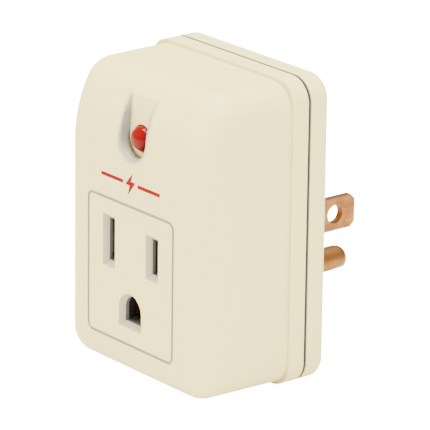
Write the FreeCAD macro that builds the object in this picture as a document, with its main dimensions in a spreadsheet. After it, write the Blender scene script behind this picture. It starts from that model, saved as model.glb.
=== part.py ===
import FreeCAD, Part
import math
import os
import re
import Sketcher

# Surge protector plug: a grounded single outlet in a moulded case that plugs straight into a wall outlet.
# Millimetres. X is right as seen from the front, Y runs towards the wall, Z is up.
# The origin is on the wall plane, midway between the flat blades. "Ahead" sizes are measured from the
# wall plane towards the user, along -Y.

sizes = {
    # case
    "bodyWidth": 40.8,
    "bodyTop": 32.6,          # above the blades' centre line
    "bodyDrop": 26.0,         # below it
    "bodyDepth": 29.8,        # wall plane to front face
    "caseWall": 2.0,
    "faceWall": 1.95,
    "bodyCorner": 4.6,
    "stepSide": 0.4,          # shell stands in from the flange, at each side
    "stepTop": 0.6,
    "stepLow": 0.25,
    "flangeAhead": 8.8,
    "seamGap": 0.35,
    "seamEdge": 0.25,
    "sideEdge": 5.1,          # less than the chin and crown, so that it rolls round both
    "chinRadius": 5.25,
    "chinRise": 0.7,          # the underside rises this much towards the front
    "browStart": 16.8,        # height where the front face starts to curve back
    "browRadius": 24.0,
    "crownRadius": 5.95,
    "innerEdge": 2.2,
    "rootIn": 0.2,            # how far one run of a moulding starts inside the next
    "overrun": 1.0,           # how far a cut starts outside the face
    # back cover
    "coverDepth": 4.7,
    "coverPlate": 2.4,
    "coverEdge": 1.6,
    "lipAhead": 6.1,
    "lipWall": 1.2,
    "lipGap": 0.2,
    "lipCorner": 3.2,
    "labelWidth": 24.0,
    "labelTall": 11.0,
    "labelUp": 16.5,
    "labelDeep": 0.25,
    # screws
    "screwAcross": 13.4,
    "screwUp": 27.4,
    "screwDown": 21.2,
    "bossRadius": 3.1,
    "bossGap": 0.15,
    "bossRoom": 0.3,          # lip cut back from the case's bosses
    "bossStep": 0.2,          # cover's bosses are this much slimmer
    "bossAhead": 19.5,
    "screwSeat": 2.0,
    "screwHead": 2.3,         # radius
    "screwHeadTall": 1.5,
    "screwShank": 1.15,       # radius
    "screwLong": 11.0,
    "screwCross": 0.7,        # width of each arm of the recess
    "screwArm": 1.45,         # its reach from the middle
    "screwGap": 0.2,
    "pilotGap": 0.03,
    "pilotDeep": 0.6,         # past the screw's end
    "screwSoft": 0.5,
    "screwCrossDeep": 0.8,
    # outlet face
    "bladeAcross": 6.35,      # blade and slot centre from the centre line
    "groundDown": 11.9,
    "slotWide": 2.3,
    "neutralTall": 8.2,
    "lineTall": 6.8,
    "groundWide": 5.3,
    "groundTall": 5.2,
    "leadSide": 0.73,
    "leadEnd": 0.93,
    "leadDeep": 1.1,
    "panelWide": 25.5,
    "panelTall": 27.4,
    "panelDown": 5.1,
    "panelCorner": 1.6,
    "grooveWide": 0.6,
    "grooveDeep": 0.35,
    # indicator scoop
    "scoopHalf": 3.6,
    "scoopUp": 20.75,
    "scoopDeep": 2.6,
    "scoopTilt": 3.3,         # degrees, floor leaning back towards the top
    "scoopWall": 1.6,
    "scoopRoll": 1.1,
    "scoopLean": 0.6,         # extra backing for the leaning floor
    "backingDrop": 2.4,
    # indicator lamp
    "ledRadius": 2.5,
    "ledShy": 0.8,            # its nose stops this far behind the front face
    "ledTall": 8.6,
    "ledRim": 2.9,
    "ledRimTall": 1.0,
    "ledGap": 0.1,
    "ledSleeveWall": 1.4,
    "ledLead": 0.5,           # square
    "ledHole": 0.37,          # round hole that clears its corners
    "ledPitch": 2.54,
    "sleeveRadius": 0.8,
    "sleeveEnd": 1.2,
    "sleeveLift": 0.4,
    # blades
    "bladeThick": 1.5,
    "bladeTall": 6.35,
    "bladeReach": 18.2,
    "bladeHole": 3.6,
    "bladeHoleAt": 13.3,
    "bladeTip": 0.95,
    "bladeEdge": 0.2,
    "bladeGap": 0.1,
    "bladeTail": 10.2,
    "shoulderTall": 9.4,
    "shoulderLong": 1.5,
    # ground pin
    "pinWide": 4.8,
    "pinLeg": 1.3,            # straight legs below the half round
    "pinReach": 21.6,
    "pinNose": 1.9,
    "pinSheet": 0.95,
    "pinNoseLong": 3.0,
    "pinPlate": 8.0,
    "pinPlateLong": 1.0,
    "pinRound": 2.75,         # radius of the turned nose where it starts
    "pinTip": 2.15,            # and where its taper would reach the end
    "pinTaper": 5.0,
    "plateCorner": 1.0,
    "tenonRadius": 1.3,
    "tenonHead": 1.9,
    "tenonHeadLong": 0.6,
    # contacts
    "contactSheet": 0.7,
    "contactTall": 6.8,
    "contactWeb": 12.4,
    "contactRise": 2.0,       # straight part of each leaf next to the web
    "contactHalf": 2.6,
    "contactPinch": 0.85,
    "pinchBack": 8.8,         # behind the front face
    "contactMouth": 1.9,
    "contactShy": 2.9,        # behind the front face
    "tailStart": 6.2,
    "tailTall": 5.8,
    "groundWeb": 8.6,
    "groundHalf": 3.6,
    "groundPinch": 2.45,
    "groundMouth": 3.0,
    "groundPinchBack": 7.3,
    "groundTipBack": 4.3,
    "groundContactTall": 5.0,
    "rivetRadius": 1.0,
    "rivetHead": 1.6,
    "rivetHeadTall": 0.5,
    "rivetUp": 1.5,
    "rivetAhead": 8.2,
    # contact retainer and the pocket walls it closes
    "retainerAhead": 10.3,
    "retainerThick": 1.6,
    "retainerHalf": 14.6,
    "retainerTop": 5.0,
    "retainerDrop": 17.6,
    "retainerGap": 0.2,
    "retainerCorner": 1.5,
    "pocketWall": 1.0,
    "pocketRoom": 0.35,
    "postAcross": 12.2,
    "postDown": 8.0,
    "postRadius": 1.8,
    "postGap": 0.1,
    # circuit board
    "boardAhead": 6.3,
    "boardThick": 1.6,
    "boardHalf": 15.6,
    "boardBottom": 4.9,
    "boardTop": 29.2,
    "boardGap": 0.3,
    "holeGap": 0.1,
    "leadRadius": 0.3,
    "leadBend": 1.0,
    "solderRadius": 0.95,
    "solderTall": 0.9,
    "solderTip": 0.4,
    # surge parts
    "movRadius": 7.2,
    "movThick": 4.4,
    "movRound": 1.5,
    "movUp": 16.5,
    "movAhead": 16.6,
    "movPitch": 7.5,
    "movNeckRadius": 0.8,
    "movNeckAhead": 9.9,
    "movNeckLong": 3.7,
    "movFarLeft": 12.5,
    "movNearLeft": 7.0,
    "movRight": 12.6,
    "fuseAcross": 7.3,
    "fuseRadius": 2.0,
    "fuseLong": 9.5,
    "fuseRound": 0.5,
    "fuseSpan": 14.2,
    "fuseAhead": 12.5,
    "resistorRadius": 1.2,
    "resistorLong": 6.4,
    "resistorUp": 27.6,
    "diodeRadius": 1.35,
    "diodeLong": 5.2,
    "diodeUp": 24.7,
    "axialSpan": 10.16,
    "axialAhead": 9.6,
    "axialRound": 0.3,
    # wires
    "wireRadius": 0.8,
    "coreRadius": 0.4,
    "wireAhead": 9.0,
    "wireBend": 0.9,
    "wireStrip": 0.9,
    "wireShy": 0.15,          # insulation stops short of the board
    "padUp": 6.9,
}

# places that follow the front face
places = {
    "scoopFloor": "(bodyDepth - scoopDeep)",
    "ledTip": "(bodyDepth - ledShy)",
    "contactTip": "(bodyDepth - contactShy)",
    "pinchAhead": "(bodyDepth - pinchBack)",
    "groundPinchAhead": "(bodyDepth - groundPinchBack)",
    "groundTip": "(bodyDepth - groundTipBack)",
}

doc = FreeCAD.newDocument("SurgeProtectorPlug")
sheet = doc.addObject("Spreadsheet::Sheet", "Sizes")
for row, (alias, number) in enumerate(sizes.items(), 1):
    sheet.set(f"A{row}", alias)
    sheet.set(f"B{row}", str(number))
    sheet.setAlias(f"B{row}", alias)
doc.recompute()

nodes = []
forward = FreeCAD.Rotation(FreeCAD.Vector(1, 0, 0), 90)      # turns +Z to -Y
sideways = FreeCAD.Rotation(FreeCAD.Vector(0, 1, 0), 90)     # turns +Z to +X
upright = FreeCAD.Rotation()


def tied(text):
    """The same expression with the sheet's name before each alias and each place written out."""
    def whole(word):
        name = word.group()
        if name in places:
            return tied(places[name])
        return "Sizes." + name if name in sizes else name
    return re.sub(r"[A-Za-z]\w*", whole, str(text))


def worth(text):
    """The number that an expression comes to."""
    return float(sheet.evalExpression(tied(text)))


def node(piece, label):
    """Give a finished sub-part its name and put it on the list."""
    piece.Label = label
    nodes.append(piece)
    return piece


def newBody(name):
    return doc.addObject("PartDesign::Body", name)


def sketchOn(piece, plane, offset=0):
    """A sketch on one of the body's own planes. XZ sketches look along +Y and their normal points ahead."""
    sketch = piece.newObject("Sketcher::SketchObject", piece.Name + "Sketch")
    face = [item for item in piece.Origin.OriginFeatures if item.Role == plane + "_Plane"]
    sketch.AttachmentSupport = [(face[0], "")]
    sketch.MapMode = "FlatFace"
    sketch.setExpression("AttachmentOffset.Base.z", tied(offset))
    return sketch


def hold(sketch, kind, target, text):
    """Add a dimension and tie it to the sheet."""
    index = sketch.addConstraint(Sketcher.Constraint(kind, *target, worth(text)))
    sketch.setExpression(f"Constraints[{index}]", tied(text))


def holdPoint(sketch, geometry, end, x, y):
    hold(sketch, "DistanceX", (-1, 1, geometry, end), x)
    hold(sketch, "DistanceY", (-1, 1, geometry, end), y)


def tangent(sketch, first, firstEnd, second, secondEnd):
    sketch.addConstraint(Sketcher.Constraint("Tangent", first, firstEnd, second, secondEnd))


def nearEnd(sketch, arc, point):
    """Which end of an arc lies at a point."""
    return 1 if (sketch.getPoint(arc, 1) - point).Length < (sketch.getPoint(arc, 2) - point).Length else 2


def outline(sketch, corners, closed=True):
    """Straight runs between corners; a corner with a third value is rounded to that radius."""
    points = [FreeCAD.Vector(worth(corner[0]), worth(corner[1]), 0) for corner in corners]
    count = len(points)
    turns = []
    for index, corner in enumerate(corners):
        turn = {"in": points[index], "out": points[index]}
        if len(corner) == 3:
            before = (points[index - 1] - points[index]).normalize()
            after = (points[(index + 1) % count] - points[index]).normalize()
            half = before.getAngle(after) / 2
            inward = (before + after).normalize()
            radius = worth(corner[2])
            turn["in"] = points[index] + before * (radius / math.tan(half))
            turn["out"] = points[index] + after * (radius / math.tan(half))
            turn["crest"] = points[index] + inward * (radius / math.sin(half) - radius)
        turns.append(turn)
    runs = count if closed else count - 1
    lines = []
    for index in range(runs):
        segment = Part.LineSegment(turns[index]["out"], turns[(index + 1) % count]["in"])
        lines.append(sketch.addGeometry(segment, False))
    for index, corner in enumerate(corners):
        if not closed and index == 0:
            holdPoint(sketch, lines[0], 1, corner[0], corner[1])
            continue
        if not closed and index == count - 1:
            holdPoint(sketch, lines[-1], 2, corner[0], corner[1])
            continue
        arriving = lines[index - 1]
        leaving = lines[index]
        turn = turns[index]
        if len(corner) == 2:
            sketch.addConstraint(Sketcher.Constraint("Coincident", arriving, 2, leaving, 1))
            holdPoint(sketch, leaving, 1, corner[0], corner[1])
            continue
        arc = sketch.addGeometry(Part.Arc(turn["in"], turn["crest"], turn["out"]), False)
        mark = sketch.addGeometry(Part.Point(points[index]), True)
        first = nearEnd(sketch, arc, turn["in"])
        tangent(sketch, arriving, 2, arc, first)
        tangent(sketch, leaving, 1, arc, 3 - first)
        hold(sketch, "Radius", (arc,), corner[2])
        sketch.addConstraint(Sketcher.Constraint("PointOnObject", mark, 1, arriving))
        sketch.addConstraint(Sketcher.Constraint("PointOnObject", mark, 1, leaving))
        holdPoint(sketch, mark, 1, corner[0], corner[1])


def box(left, right, low, high, radius=None):
    """Corners of a rectangle for outline()."""
    corners = [(left, low), (right, low), (right, high), (left, high)]
    return [corner + (radius,) for corner in corners] if radius else corners


def circle(sketch, x, y, radius):
    ring = Part.Circle(FreeCAD.Vector(worth(x), worth(y), 0), FreeCAD.Vector(0, 0, 1), worth(radius))
    index = sketch.addGeometry(ring, False)
    holdPoint(sketch, index, 3, x, y)
    hold(sketch, "Radius", (index,), radius)


def arch(sketch, x, spring, half, base):
    """A half circle centred at height spring, with straight legs to height base, above or below it."""
    centre = FreeCAD.Vector(worth(x), worth(spring), 0)
    reach = worth(half)
    foot = worth(base)
    start = 0 if foot < centre.y else math.pi
    ring = Part.Circle(centre, FreeCAD.Vector(0, 0, 1), reach)
    arc = sketch.addGeometry(Part.ArcOfCircle(ring, start, start + math.pi), False)
    first = sketch.getPoint(arc, 1)
    last = sketch.getPoint(arc, 2)
    firstFoot = FreeCAD.Vector(first.x, foot, 0)
    lastFoot = FreeCAD.Vector(last.x, foot, 0)
    legOne = sketch.addGeometry(Part.LineSegment(first, firstFoot), False)
    sill = sketch.addGeometry(Part.LineSegment(firstFoot, lastFoot), False)
    legTwo = sketch.addGeometry(Part.LineSegment(lastFoot, last), False)
    tangent(sketch, arc, 1, legOne, 1)
    tangent(sketch, legTwo, 2, arc, 2)
    sketch.addConstraint(Sketcher.Constraint("Coincident", legOne, 2, sill, 1))
    sketch.addConstraint(Sketcher.Constraint("Coincident", sill, 2, legTwo, 1))
    sketch.addConstraint(Sketcher.Constraint("Horizontal", sill))
    sketch.addConstraint(Sketcher.Constraint("Vertical", legOne))
    sketch.addConstraint(Sketcher.Constraint("Vertical", legTwo))
    holdPoint(sketch, arc, 3, x, spring)
    hold(sketch, "Radius", (arc,), half)
    hold(sketch, "DistanceY", (-1, 1, sill, 1), base)


def pad(piece, sketch, length):
    """Grow a sketch along its normal."""
    feature = piece.newObject("PartDesign::Pad", piece.Name + "Pad")
    feature.Profile = sketch
    feature.setExpression("Length", tied(length))
    doc.recompute()
    return feature


def pocket(piece, sketch, length):
    """Cut a sketch away along its normal."""
    before = piece.Shape.Volume
    feature = piece.newObject("PartDesign::Pocket", piece.Name + "Pocket")
    feature.Profile = sketch
    feature.Reversed = True
    feature.setExpression("Length", tied(length))
    doc.recompute()
    if not piece.Shape.Volume < before:
        raise RuntimeError(f"{feature.Name} cuts nothing")
    return feature


def turned(piece, sketch, axis):
    """Turn a sketch a full circle about one of its own axes."""
    feature = piece.newObject("PartDesign::Revolution", piece.Name + "Turned")
    feature.Profile = sketch
    feature.ReferenceAxis = (sketch, [axis])
    feature.Angle = 360
    doc.recompute()
    return feature


def roundOff(piece, radius, wanted):
    """Fillet the edges of a body that a test picks."""
    base = piece.Tip
    picked = [f"Edge{number}" for number, edge in enumerate(base.Shape.Edges, 1) if wanted(edge)]
    feature = piece.newObject("PartDesign::Fillet", piece.Name + "Fillet")
    feature.Base = (base, picked)
    feature.setExpression("Radius", tied(radius))
    doc.recompute()
    return feature


def placed(feature, x, ahead, z, rotation=upright):
    feature.Placement = FreeCAD.Placement(FreeCAD.Vector(), rotation)
    feature.setExpression("Placement.Base.x", tied(x))
    feature.setExpression("Placement.Base.y", tied(f"-({ahead})"))
    feature.setExpression("Placement.Base.z", tied(z))
    return feature


def cylinder(name, radius, length, x, ahead, z, rotation=forward):
    feature = doc.addObject("Part::Cylinder", name)
    feature.setExpression("Radius", tied(radius))
    feature.setExpression("Height", tied(length))
    return placed(feature, x, ahead, z, rotation)


def block(name, left, right, start, stop, low, high):
    """A box given by its sides; start and stop are ahead of the wall plane."""
    feature = doc.addObject("Part::Box", name)
    feature.setExpression("Length", tied(f"({right}) - ({left})"))
    feature.setExpression("Width", tied(f"({stop}) - ({start})"))
    feature.setExpression("Height", tied(f"({high}) - ({low})"))
    return placed(feature, left, stop, low)


def fused(name, shapes):
    feature = doc.addObject("Part::MultiFuse", name)
    feature.Shapes = shapes
    doc.recompute()
    return feature


def cutFrom(name, base, tools):
    """Cut every tool from the base, comparing the volume."""
    feature = doc.addObject("Part::Cut", name)
    feature.Base = base
    feature.Tool = fused(name + "Tools", tools) if len(tools) > 1 else tools[0]
    doc.recompute()
    if not feature.Shape.Volume < base.Shape.Volume:
        raise RuntimeError(f"{name} cuts nothing")
    return feature


def isRim(edge):
    return edge.Curve.TypeId == "Part::GeomCircle"


def softEnds(name, base, radius, wanted=isRim):
    """Part::Fillet on the picked edges of a turned primitive."""
    doc.recompute()
    start = stop = worth(radius)
    picked = [(number, start, stop) for number, edge in enumerate(base.Shape.Edges, 1) if wanted(edge)]
    feature = doc.addObject("Part::Fillet", name)
    feature.Base = base
    feature.Edges = picked
    doc.recompute()
    return feature


def group(label, solids):
    feature = doc.addObject("Part::Compound", label)
    feature.Links = solids
    doc.recompute()
    return node(feature, label)


def onPlane(edge, axis, where):
    """Whether all of an edge lies at one place along an axis."""
    low = (edge.BoundBox.XMin, edge.BoundBox.YMin, edge.BoundBox.ZMin)[axis]
    high = (edge.BoundBox.XMax, edge.BoundBox.YMax, edge.BoundBox.ZMax)[axis]
    return abs(low - where) < 1e-4 and abs(high - where) < 1e-4


def caseProfile(sketch, inset, rear):
    """Side view of the front shell, in from its outer face by inset: chin, flat face, brow, crown, top."""
    front = f"-(bodyDepth - ({inset[1]}))"
    top = f"bodyTop - stepTop - ({inset[0]})"
    low = f"-(bodyDrop - stepLow - ({inset[0]}))"
    chin = f"-(bodyDrop - stepLow - chinRise - ({inset[0]}))"
    chinRadius = f"chinRadius - ({inset[0]})"
    brow = f"browRadius - ({inset[1]})"
    crown = f"crownRadius - ({inset[0]})"
    rear = f"-({rear})"
    vector = FreeCAD.Vector
    browCentre = vector(worth(front) + worth(brow), worth("browStart"), 0)
    crownUp = worth(top) - worth(crown)
    between = worth(brow) - worth(crown)
    crownBack = browCentre.x - math.sqrt(between ** 2 - (crownUp - browCentre.y) ** 2)
    crownCentre = vector(crownBack, crownUp, 0)
    toCrown = (crownCentre - browCentre).normalize()
    meet = browCentre + toCrown * worth(brow)
    slope = math.atan2(worth(chin) - worth(low), worth(rear) - worth(front))
    reach = worth(chinRadius) * math.tan((math.pi / 2 - slope) / 2)
    corner = vector(worth(front), worth(chin), 0)
    chinIn = corner + vector(math.cos(slope), -math.sin(slope), 0) * reach
    chinOut = corner + vector(0, reach, 0)
    chinCentre = chinOut + vector(worth(chinRadius), 0, 0)
    chinCrest = chinCentre + (corner - chinCentre).normalize() * worth(chinRadius)
    browFoot = vector(worth(front), worth("browStart"), 0)
    browCrest = browCentre + (browFoot + meet - browCentre * 2).normalize() * worth(brow)
    crownTop = crownCentre + vector(0, worth(crown), 0)
    crownCrest = crownCentre + (toCrown + vector(0, 1, 0)).normalize() * worth(crown)
    rearTop = vector(worth(rear), worth(top), 0)
    rearLow = vector(worth(rear), worth(low), 0)
    chain = [
        Part.LineSegment(rearTop, rearLow),
        Part.LineSegment(rearLow, chinIn),
        Part.Arc(chinIn, chinCrest, chinOut),
        Part.LineSegment(chinOut, browFoot),
        Part.Arc(browFoot, browCrest, meet),
        Part.Arc(meet, crownCrest, crownTop),
        Part.LineSegment(crownTop, rearTop),
    ]
    starts = [rearTop, rearLow, chinIn, chinOut, browFoot, meet, crownTop]
    lines = [sketch.addGeometry(item, False) for item in chain]
    rearLine, under, chinArc, face, browArc, crownArc, topLine = lines
    mark = sketch.addGeometry(Part.Point(corner), True)
    for first, second, point in zip(lines[1:], lines[2:], starts[2:]):
        tangent(sketch, first, nearEnd(sketch, first, point), second, nearEnd(sketch, second, point))
    sketch.addConstraint(Sketcher.Constraint("Coincident", topLine, 2, rearLine, 1))
    sketch.addConstraint(Sketcher.Constraint("Coincident", rearLine, 2, under, 1))
    sketch.addConstraint(Sketcher.Constraint("Vertical", rearLine))
    sketch.addConstraint(Sketcher.Constraint("Vertical", face))
    sketch.addConstraint(Sketcher.Constraint("Horizontal", topLine))
    sketch.addConstraint(Sketcher.Constraint("PointOnObject", mark, 1, under))
    sketch.addConstraint(Sketcher.Constraint("PointOnObject", mark, 1, face))
    holdPoint(sketch, mark, 1, front, chin)
    holdPoint(sketch, rearLine, 1, rear, top)
    hold(sketch, "DistanceY", (-1, 1, rearLine, 2), low)
    hold(sketch, "DistanceY", (-1, 1, browArc, 3), "browStart")
    for arc, radius in ((chinArc, chinRadius), (browArc, brow), (crownArc, crown)):
        hold(sketch, "Radius", (arc,), radius)


def caseOutline(inset):
    """Corners of the flange and cover outline, seen from the front."""
    half = f"bodyWidth / 2 - ({inset})"
    low = f"-(bodyDrop - ({inset}))"
    high = f"bodyTop - ({inset})"
    return box(f"-({half})", half, low, high, f"bodyCorner - ({inset})")


def roundedShell():
    """The front shell's block: the side view grown across the case, with both side edges rounded."""
    piece = newBody("ShellBlock")
    half = "bodyWidth / 2 - stepSide"
    rear = "coverDepth + seamGap"
    sketch = sketchOn(piece, "YZ", f"-({half})")
    caseProfile(sketch, ("0", "0"), rear)
    pad(piece, sketch, f"2 * ({half})")
    sides = [worth(half), -worth(half)]
    roundOff(piece, "sideEdge", lambda edge: any(onPlane(edge, 0, side) for side in sides)
             and not onPlane(edge, 1, -worth(rear)))
    return piece


def outerShell():
    """The rounded shell with the flange band behind it."""
    flange = newBody("Flange")
    sketch = sketchOn(flange, "XZ", "coverDepth + seamGap")
    outline(sketch, caseOutline("0"))
    pad(flange, sketch, "flangeAhead - coverDepth - seamGap")
    roundOff(flange, "seamEdge", lambda edge: onPlane(edge, 1, -worth("coverDepth + seamGap")))
    return fused("OuterShell", [roundedShell(), flange])


def cavity():
    """The space inside the case."""
    piece = newBody("Cavity")
    half = "bodyWidth / 2 - stepSide - caseWall"
    sketch = sketchOn(piece, "YZ", f"-({half})")
    caseProfile(sketch, ("caseWall", "faceWall"), "coverDepth")
    pad(piece, sketch, f"2 * ({half})")
    sides = [worth(half), -worth(half)]
    roundOff(piece, "innerEdge", lambda edge: any(onPlane(edge, 0, side) for side in sides)
             and not onPlane(edge, 1, -worth("coverDepth")))
    return piece


def screwPlaces():
    return [(f"{side} * screwAcross", height) for height in ("screwUp", "-screwDown") for side in (-1, 1)]


def caseBosses():
    """Screw bosses, the lamp's collar, and the walls that hold the contacts."""
    parts = []
    for index, (x, z) in enumerate(screwPlaces()):
        start = "coverDepth + seamGap + bossGap"
        parts.append(cylinder(f"Boss{index}", "bossRadius", f"bossAhead - ({start})", x, start, z))
    collar = "ledTip - ledTall + ledRimTall"
    collarLong = f"scoopFloor - scoopWall / 2 - ({collar})"
    parts.append(cylinder("LampCollar", "ledRadius + ledSleeveWall", collarLong, "0", collar, "scoopUp"))
    parts.append(block("ScoopBacking", "-(scoopHalf + scoopWall)", "scoopHalf + scoopWall",
                       "scoopFloor - scoopWall - scoopLean", "scoopFloor",
                       "scoopUp - scoopHalf - scoopWall", "bodyTop - stepTop - caseWall - backingDrop"))
    wallStart = "retainerAhead + retainerThick"
    pockets = [
        ("Line", "bladeAcross", "contactHalf + pocketRoom", "0", "neutralTall / 2 + pocketRoom"),
        ("Neutral", "-bladeAcross", "contactHalf + pocketRoom", "0", "neutralTall / 2 + pocketRoom"),
        ("Ground", "0", "groundHalf + pocketRoom", "-groundDown", "groundContactTall / 2 + pocketRoom"),
    ]
    for name, x, half, z, tall in pockets:
        walls = newBody("Pocket" + name)
        sketch = sketchOn(walls, "XZ", wallStart)
        outline(sketch, box(f"{x} - ({half} + pocketWall)", f"{x} + ({half} + pocketWall)",
                            f"{z} - ({tall} + pocketWall)", f"{z} + ({tall} + pocketWall)"))
        outline(sketch, box(f"{x} - ({half})", f"{x} + ({half})", f"{z} - ({tall})", f"{z} + ({tall})"))
        pad(walls, sketch, f"bodyDepth - faceWall / 2 - ({wallStart})")
        parts.append(walls)
    return parts


def slotCutter(name, x, half, low, high):
    """An outlet slot with its bevelled lead-in."""
    through = block(name + "Slot", f"{x} - ({half})", f"{x} + ({half})", "bodyDepth - faceWall - overrun",
                    "bodyDepth + overrun", low, high)
    bevel = doc.addObject("Part::Wedge", name + "Bevel")
    bounds = {
        "Xmin": f"-({half}) - leadSide", "Xmax": f"({half}) + leadSide",
        "X2min": f"-({half})", "X2max": half,
        "Ymin": "0", "Ymax": "leadDeep",
        "Zmin": f"({low}) - leadEnd", "Zmax": f"({high}) + leadEnd",
        "Z2min": low, "Z2max": high,
    }
    for edge, text in bounds.items():
        bevel.setExpression(edge, tied(text))
    placed(bevel, x, "bodyDepth", "0")
    return [through, bevel]


def groundCutters():
    """The arched ground hole and its bevel."""
    hole = newBody("GroundHole")
    half = "groundWide / 2"
    spring = "-groundDown + groundTall / 2 - groundWide / 2"
    base = "-groundDown - groundTall / 2"
    arch(sketchOn(hole, "XZ", "bodyDepth - faceWall - overrun"), "0", spring, half, base)
    pad(hole, hole.Group[-1], "faceWall + 2 * overrun")
    bevel = newBody("GroundBevel")
    inner = sketchOn(bevel, "XZ", "bodyDepth - leadDeep")
    arch(inner, "0", spring, half, base)
    outer = sketchOn(bevel, "XZ", "bodyDepth")
    arch(outer, "0", spring, f"{half} + leadSide", f"{base} - leadEnd")
    loft = bevel.newObject("PartDesign::AdditiveLoft", "GroundBevelLoft")
    loft.Profile = inner
    loft.Sections = [outer]
    doc.recompute()
    return [hole, bevel]


def panelGroove():
    """The shallow line moulded round the outlet."""
    piece = newBody("PanelGroove")
    sketch = sketchOn(piece, "XZ", "bodyDepth - grooveDeep")
    for inset in ("0", "grooveWide"):
        half = f"panelWide / 2 - {inset}"
        tall = f"panelTall / 2 - {inset}"
        outline(sketch, box(f"-({half})", half, f"-panelDown - ({tall})", f"-panelDown + ({tall})",
                            f"panelCorner - {inset}"))
    pad(piece, sketch, "grooveDeep + overrun")
    return piece


def scoopCutter():
    """The thumbnail-shaped recess round the lamp: walls with a rolled rim, on a floor that leans back."""
    piece = newBody("ScoopCut")
    rise = "(bodyDepth - scoopFloor)"
    rim = "scoopHalf + scoopRoll + overrun / 2"
    above = f"-{rise} - 2 * overrun"
    rightSide = [
        ("scoopHalf", "0"), ("scoopHalf", f"-{rise}", "scoopRoll"), (rim, f"-{rise}"), (rim, above),
    ]
    leftSide = [(f"-({corner[0]})",) + corner[1:] for corner in reversed(rightSide)]
    across = sketchOn(piece, "XY")
    outline(across, rightSide + leftSide)
    pad(piece, across, "bodyTop")
    half = sketchOn(piece, "XY")
    outline(half, [("0", "0")] + rightSide + [("0", above)])
    turned(piece, half, "V_Axis")
    tilt = FreeCAD.Rotation(FreeCAD.Vector(1, 0, 0), -worth("scoopTilt"))
    return placed(piece, "0", "scoopFloor", "scoopUp", tilt)


def frontHousing():
    hollow = cutFrom("HollowShell", outerShell(), [cavity()])
    withWalls = fused("ShellWithWalls", [hollow] + caseBosses())
    scooped = cutFrom("ShellScooped", withWalls, [scoopCutter()])
    half = "slotWide / 2"
    cutters = []
    for name, side, tall in (("Neutral", -1, "neutralTall"), ("Line", 1, "lineTall")):
        cutters += slotCutter(name, f"{side} * bladeAcross", half, f"-{tall} / 2", f"{tall} / 2")
    cutters += groundCutters()
    cutters.append(panelGroove())
    cutters.append(cylinder("LampHole", "ledRadius + ledGap", "bodyDepth", "0", "coverDepth", "scoopUp"))
    pilotLong = "screwSeat + screwLong + pilotDeep - coverDepth"
    for index, (x, z) in enumerate(screwPlaces()):
        cutters.append(cylinder(f"Pilot{index}", "screwShank + pilotGap", pilotLong, x, "coverDepth", z))
    return node(cutFrom("front_housing", scooped, cutters), "front_housing")


def backCover():
    """The plate against the wall: rim, locating lip, screw bosses, posts that press on the retainer."""
    piece = newBody("back_cover")
    sketch = sketchOn(piece, "XZ")
    outline(sketch, caseOutline("0"))
    pad(piece, sketch, "coverDepth")
    roundOff(piece, "coverEdge", lambda edge: onPlane(edge, 1, 0))
    roundOff(piece, "seamEdge", lambda edge: onPlane(edge, 1, -worth("coverDepth")))
    sketch = sketchOn(piece, "XZ", "coverPlate")
    outline(sketch, caseOutline("caseWall"))
    pocket(piece, sketch, "coverDepth")
    root = "coverPlate - rootIn"
    lip = sketchOn(piece, "XZ", root)
    for inset in ("0", "lipWall"):
        half = f"bodyWidth / 2 - stepSide - caseWall - lipGap - {inset}"
        outline(lip, box(f"-({half})", half, f"-(bodyDrop - stepLow - caseWall - lipGap - {inset})",
                         f"bodyTop - stepTop - caseWall - lipGap - {inset}", f"lipCorner - {inset}"))
    pad(piece, lip, f"lipAhead - ({root})")
    bossTop = "coverDepth + seamGap"
    for x, z in screwPlaces():
        clear = sketchOn(piece, "XZ", bossTop)
        circle(clear, x, z, "bossRadius + bossRoom")
        pocket(piece, clear, "lipAhead")
        boss = sketchOn(piece, "XZ", root)
        circle(boss, x, z, "bossRadius - bossStep")
        pad(piece, boss, f"{bossTop} - ({root})")
    for side in (-1, 1):
        post = sketchOn(piece, "XZ", root)
        circle(post, f"{side} * postAcross", "-postDown", "postRadius")
        pad(piece, post, f"retainerAhead - postGap - ({root})")
    slots = sketchOn(piece, "XZ", "-overrun")
    for side in (-1, 1):
        x = f"{side} * bladeAcross"
        half = "bladeThick / 2 + bladeGap"
        tall = "bladeTall / 2 + bladeGap"
        outline(slots, box(f"{x} - ({half})", f"{x} + ({half})", f"-({tall})", tall))
    arch(slots, "0", "-groundDown", "pinWide / 2 + bladeGap", "-groundDown - pinLeg - bladeGap")
    pocket(piece, slots, "coverPlate + 2 * overrun")
    holes = sketchOn(piece, "XZ", "-overrun")
    seats = sketchOn(piece, "XZ", "-overrun")
    for x, z in screwPlaces():
        circle(holes, x, z, "screwShank + screwGap")
        circle(seats, x, z, "screwHead + screwGap")
    pocket(piece, holes, "coverDepth + seamGap + 2 * overrun")
    pocket(piece, seats, "screwSeat + overrun")
    label = sketchOn(piece, "XZ", "-overrun")
    outline(label, box("labelWidth / -2", "labelWidth / 2", "labelUp - labelTall / 2",
                       "labelUp + labelTall / 2", "plateCorner"))
    pocket(piece, label, "overrun + labelDeep")
    return node(piece, "back_cover")


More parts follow.
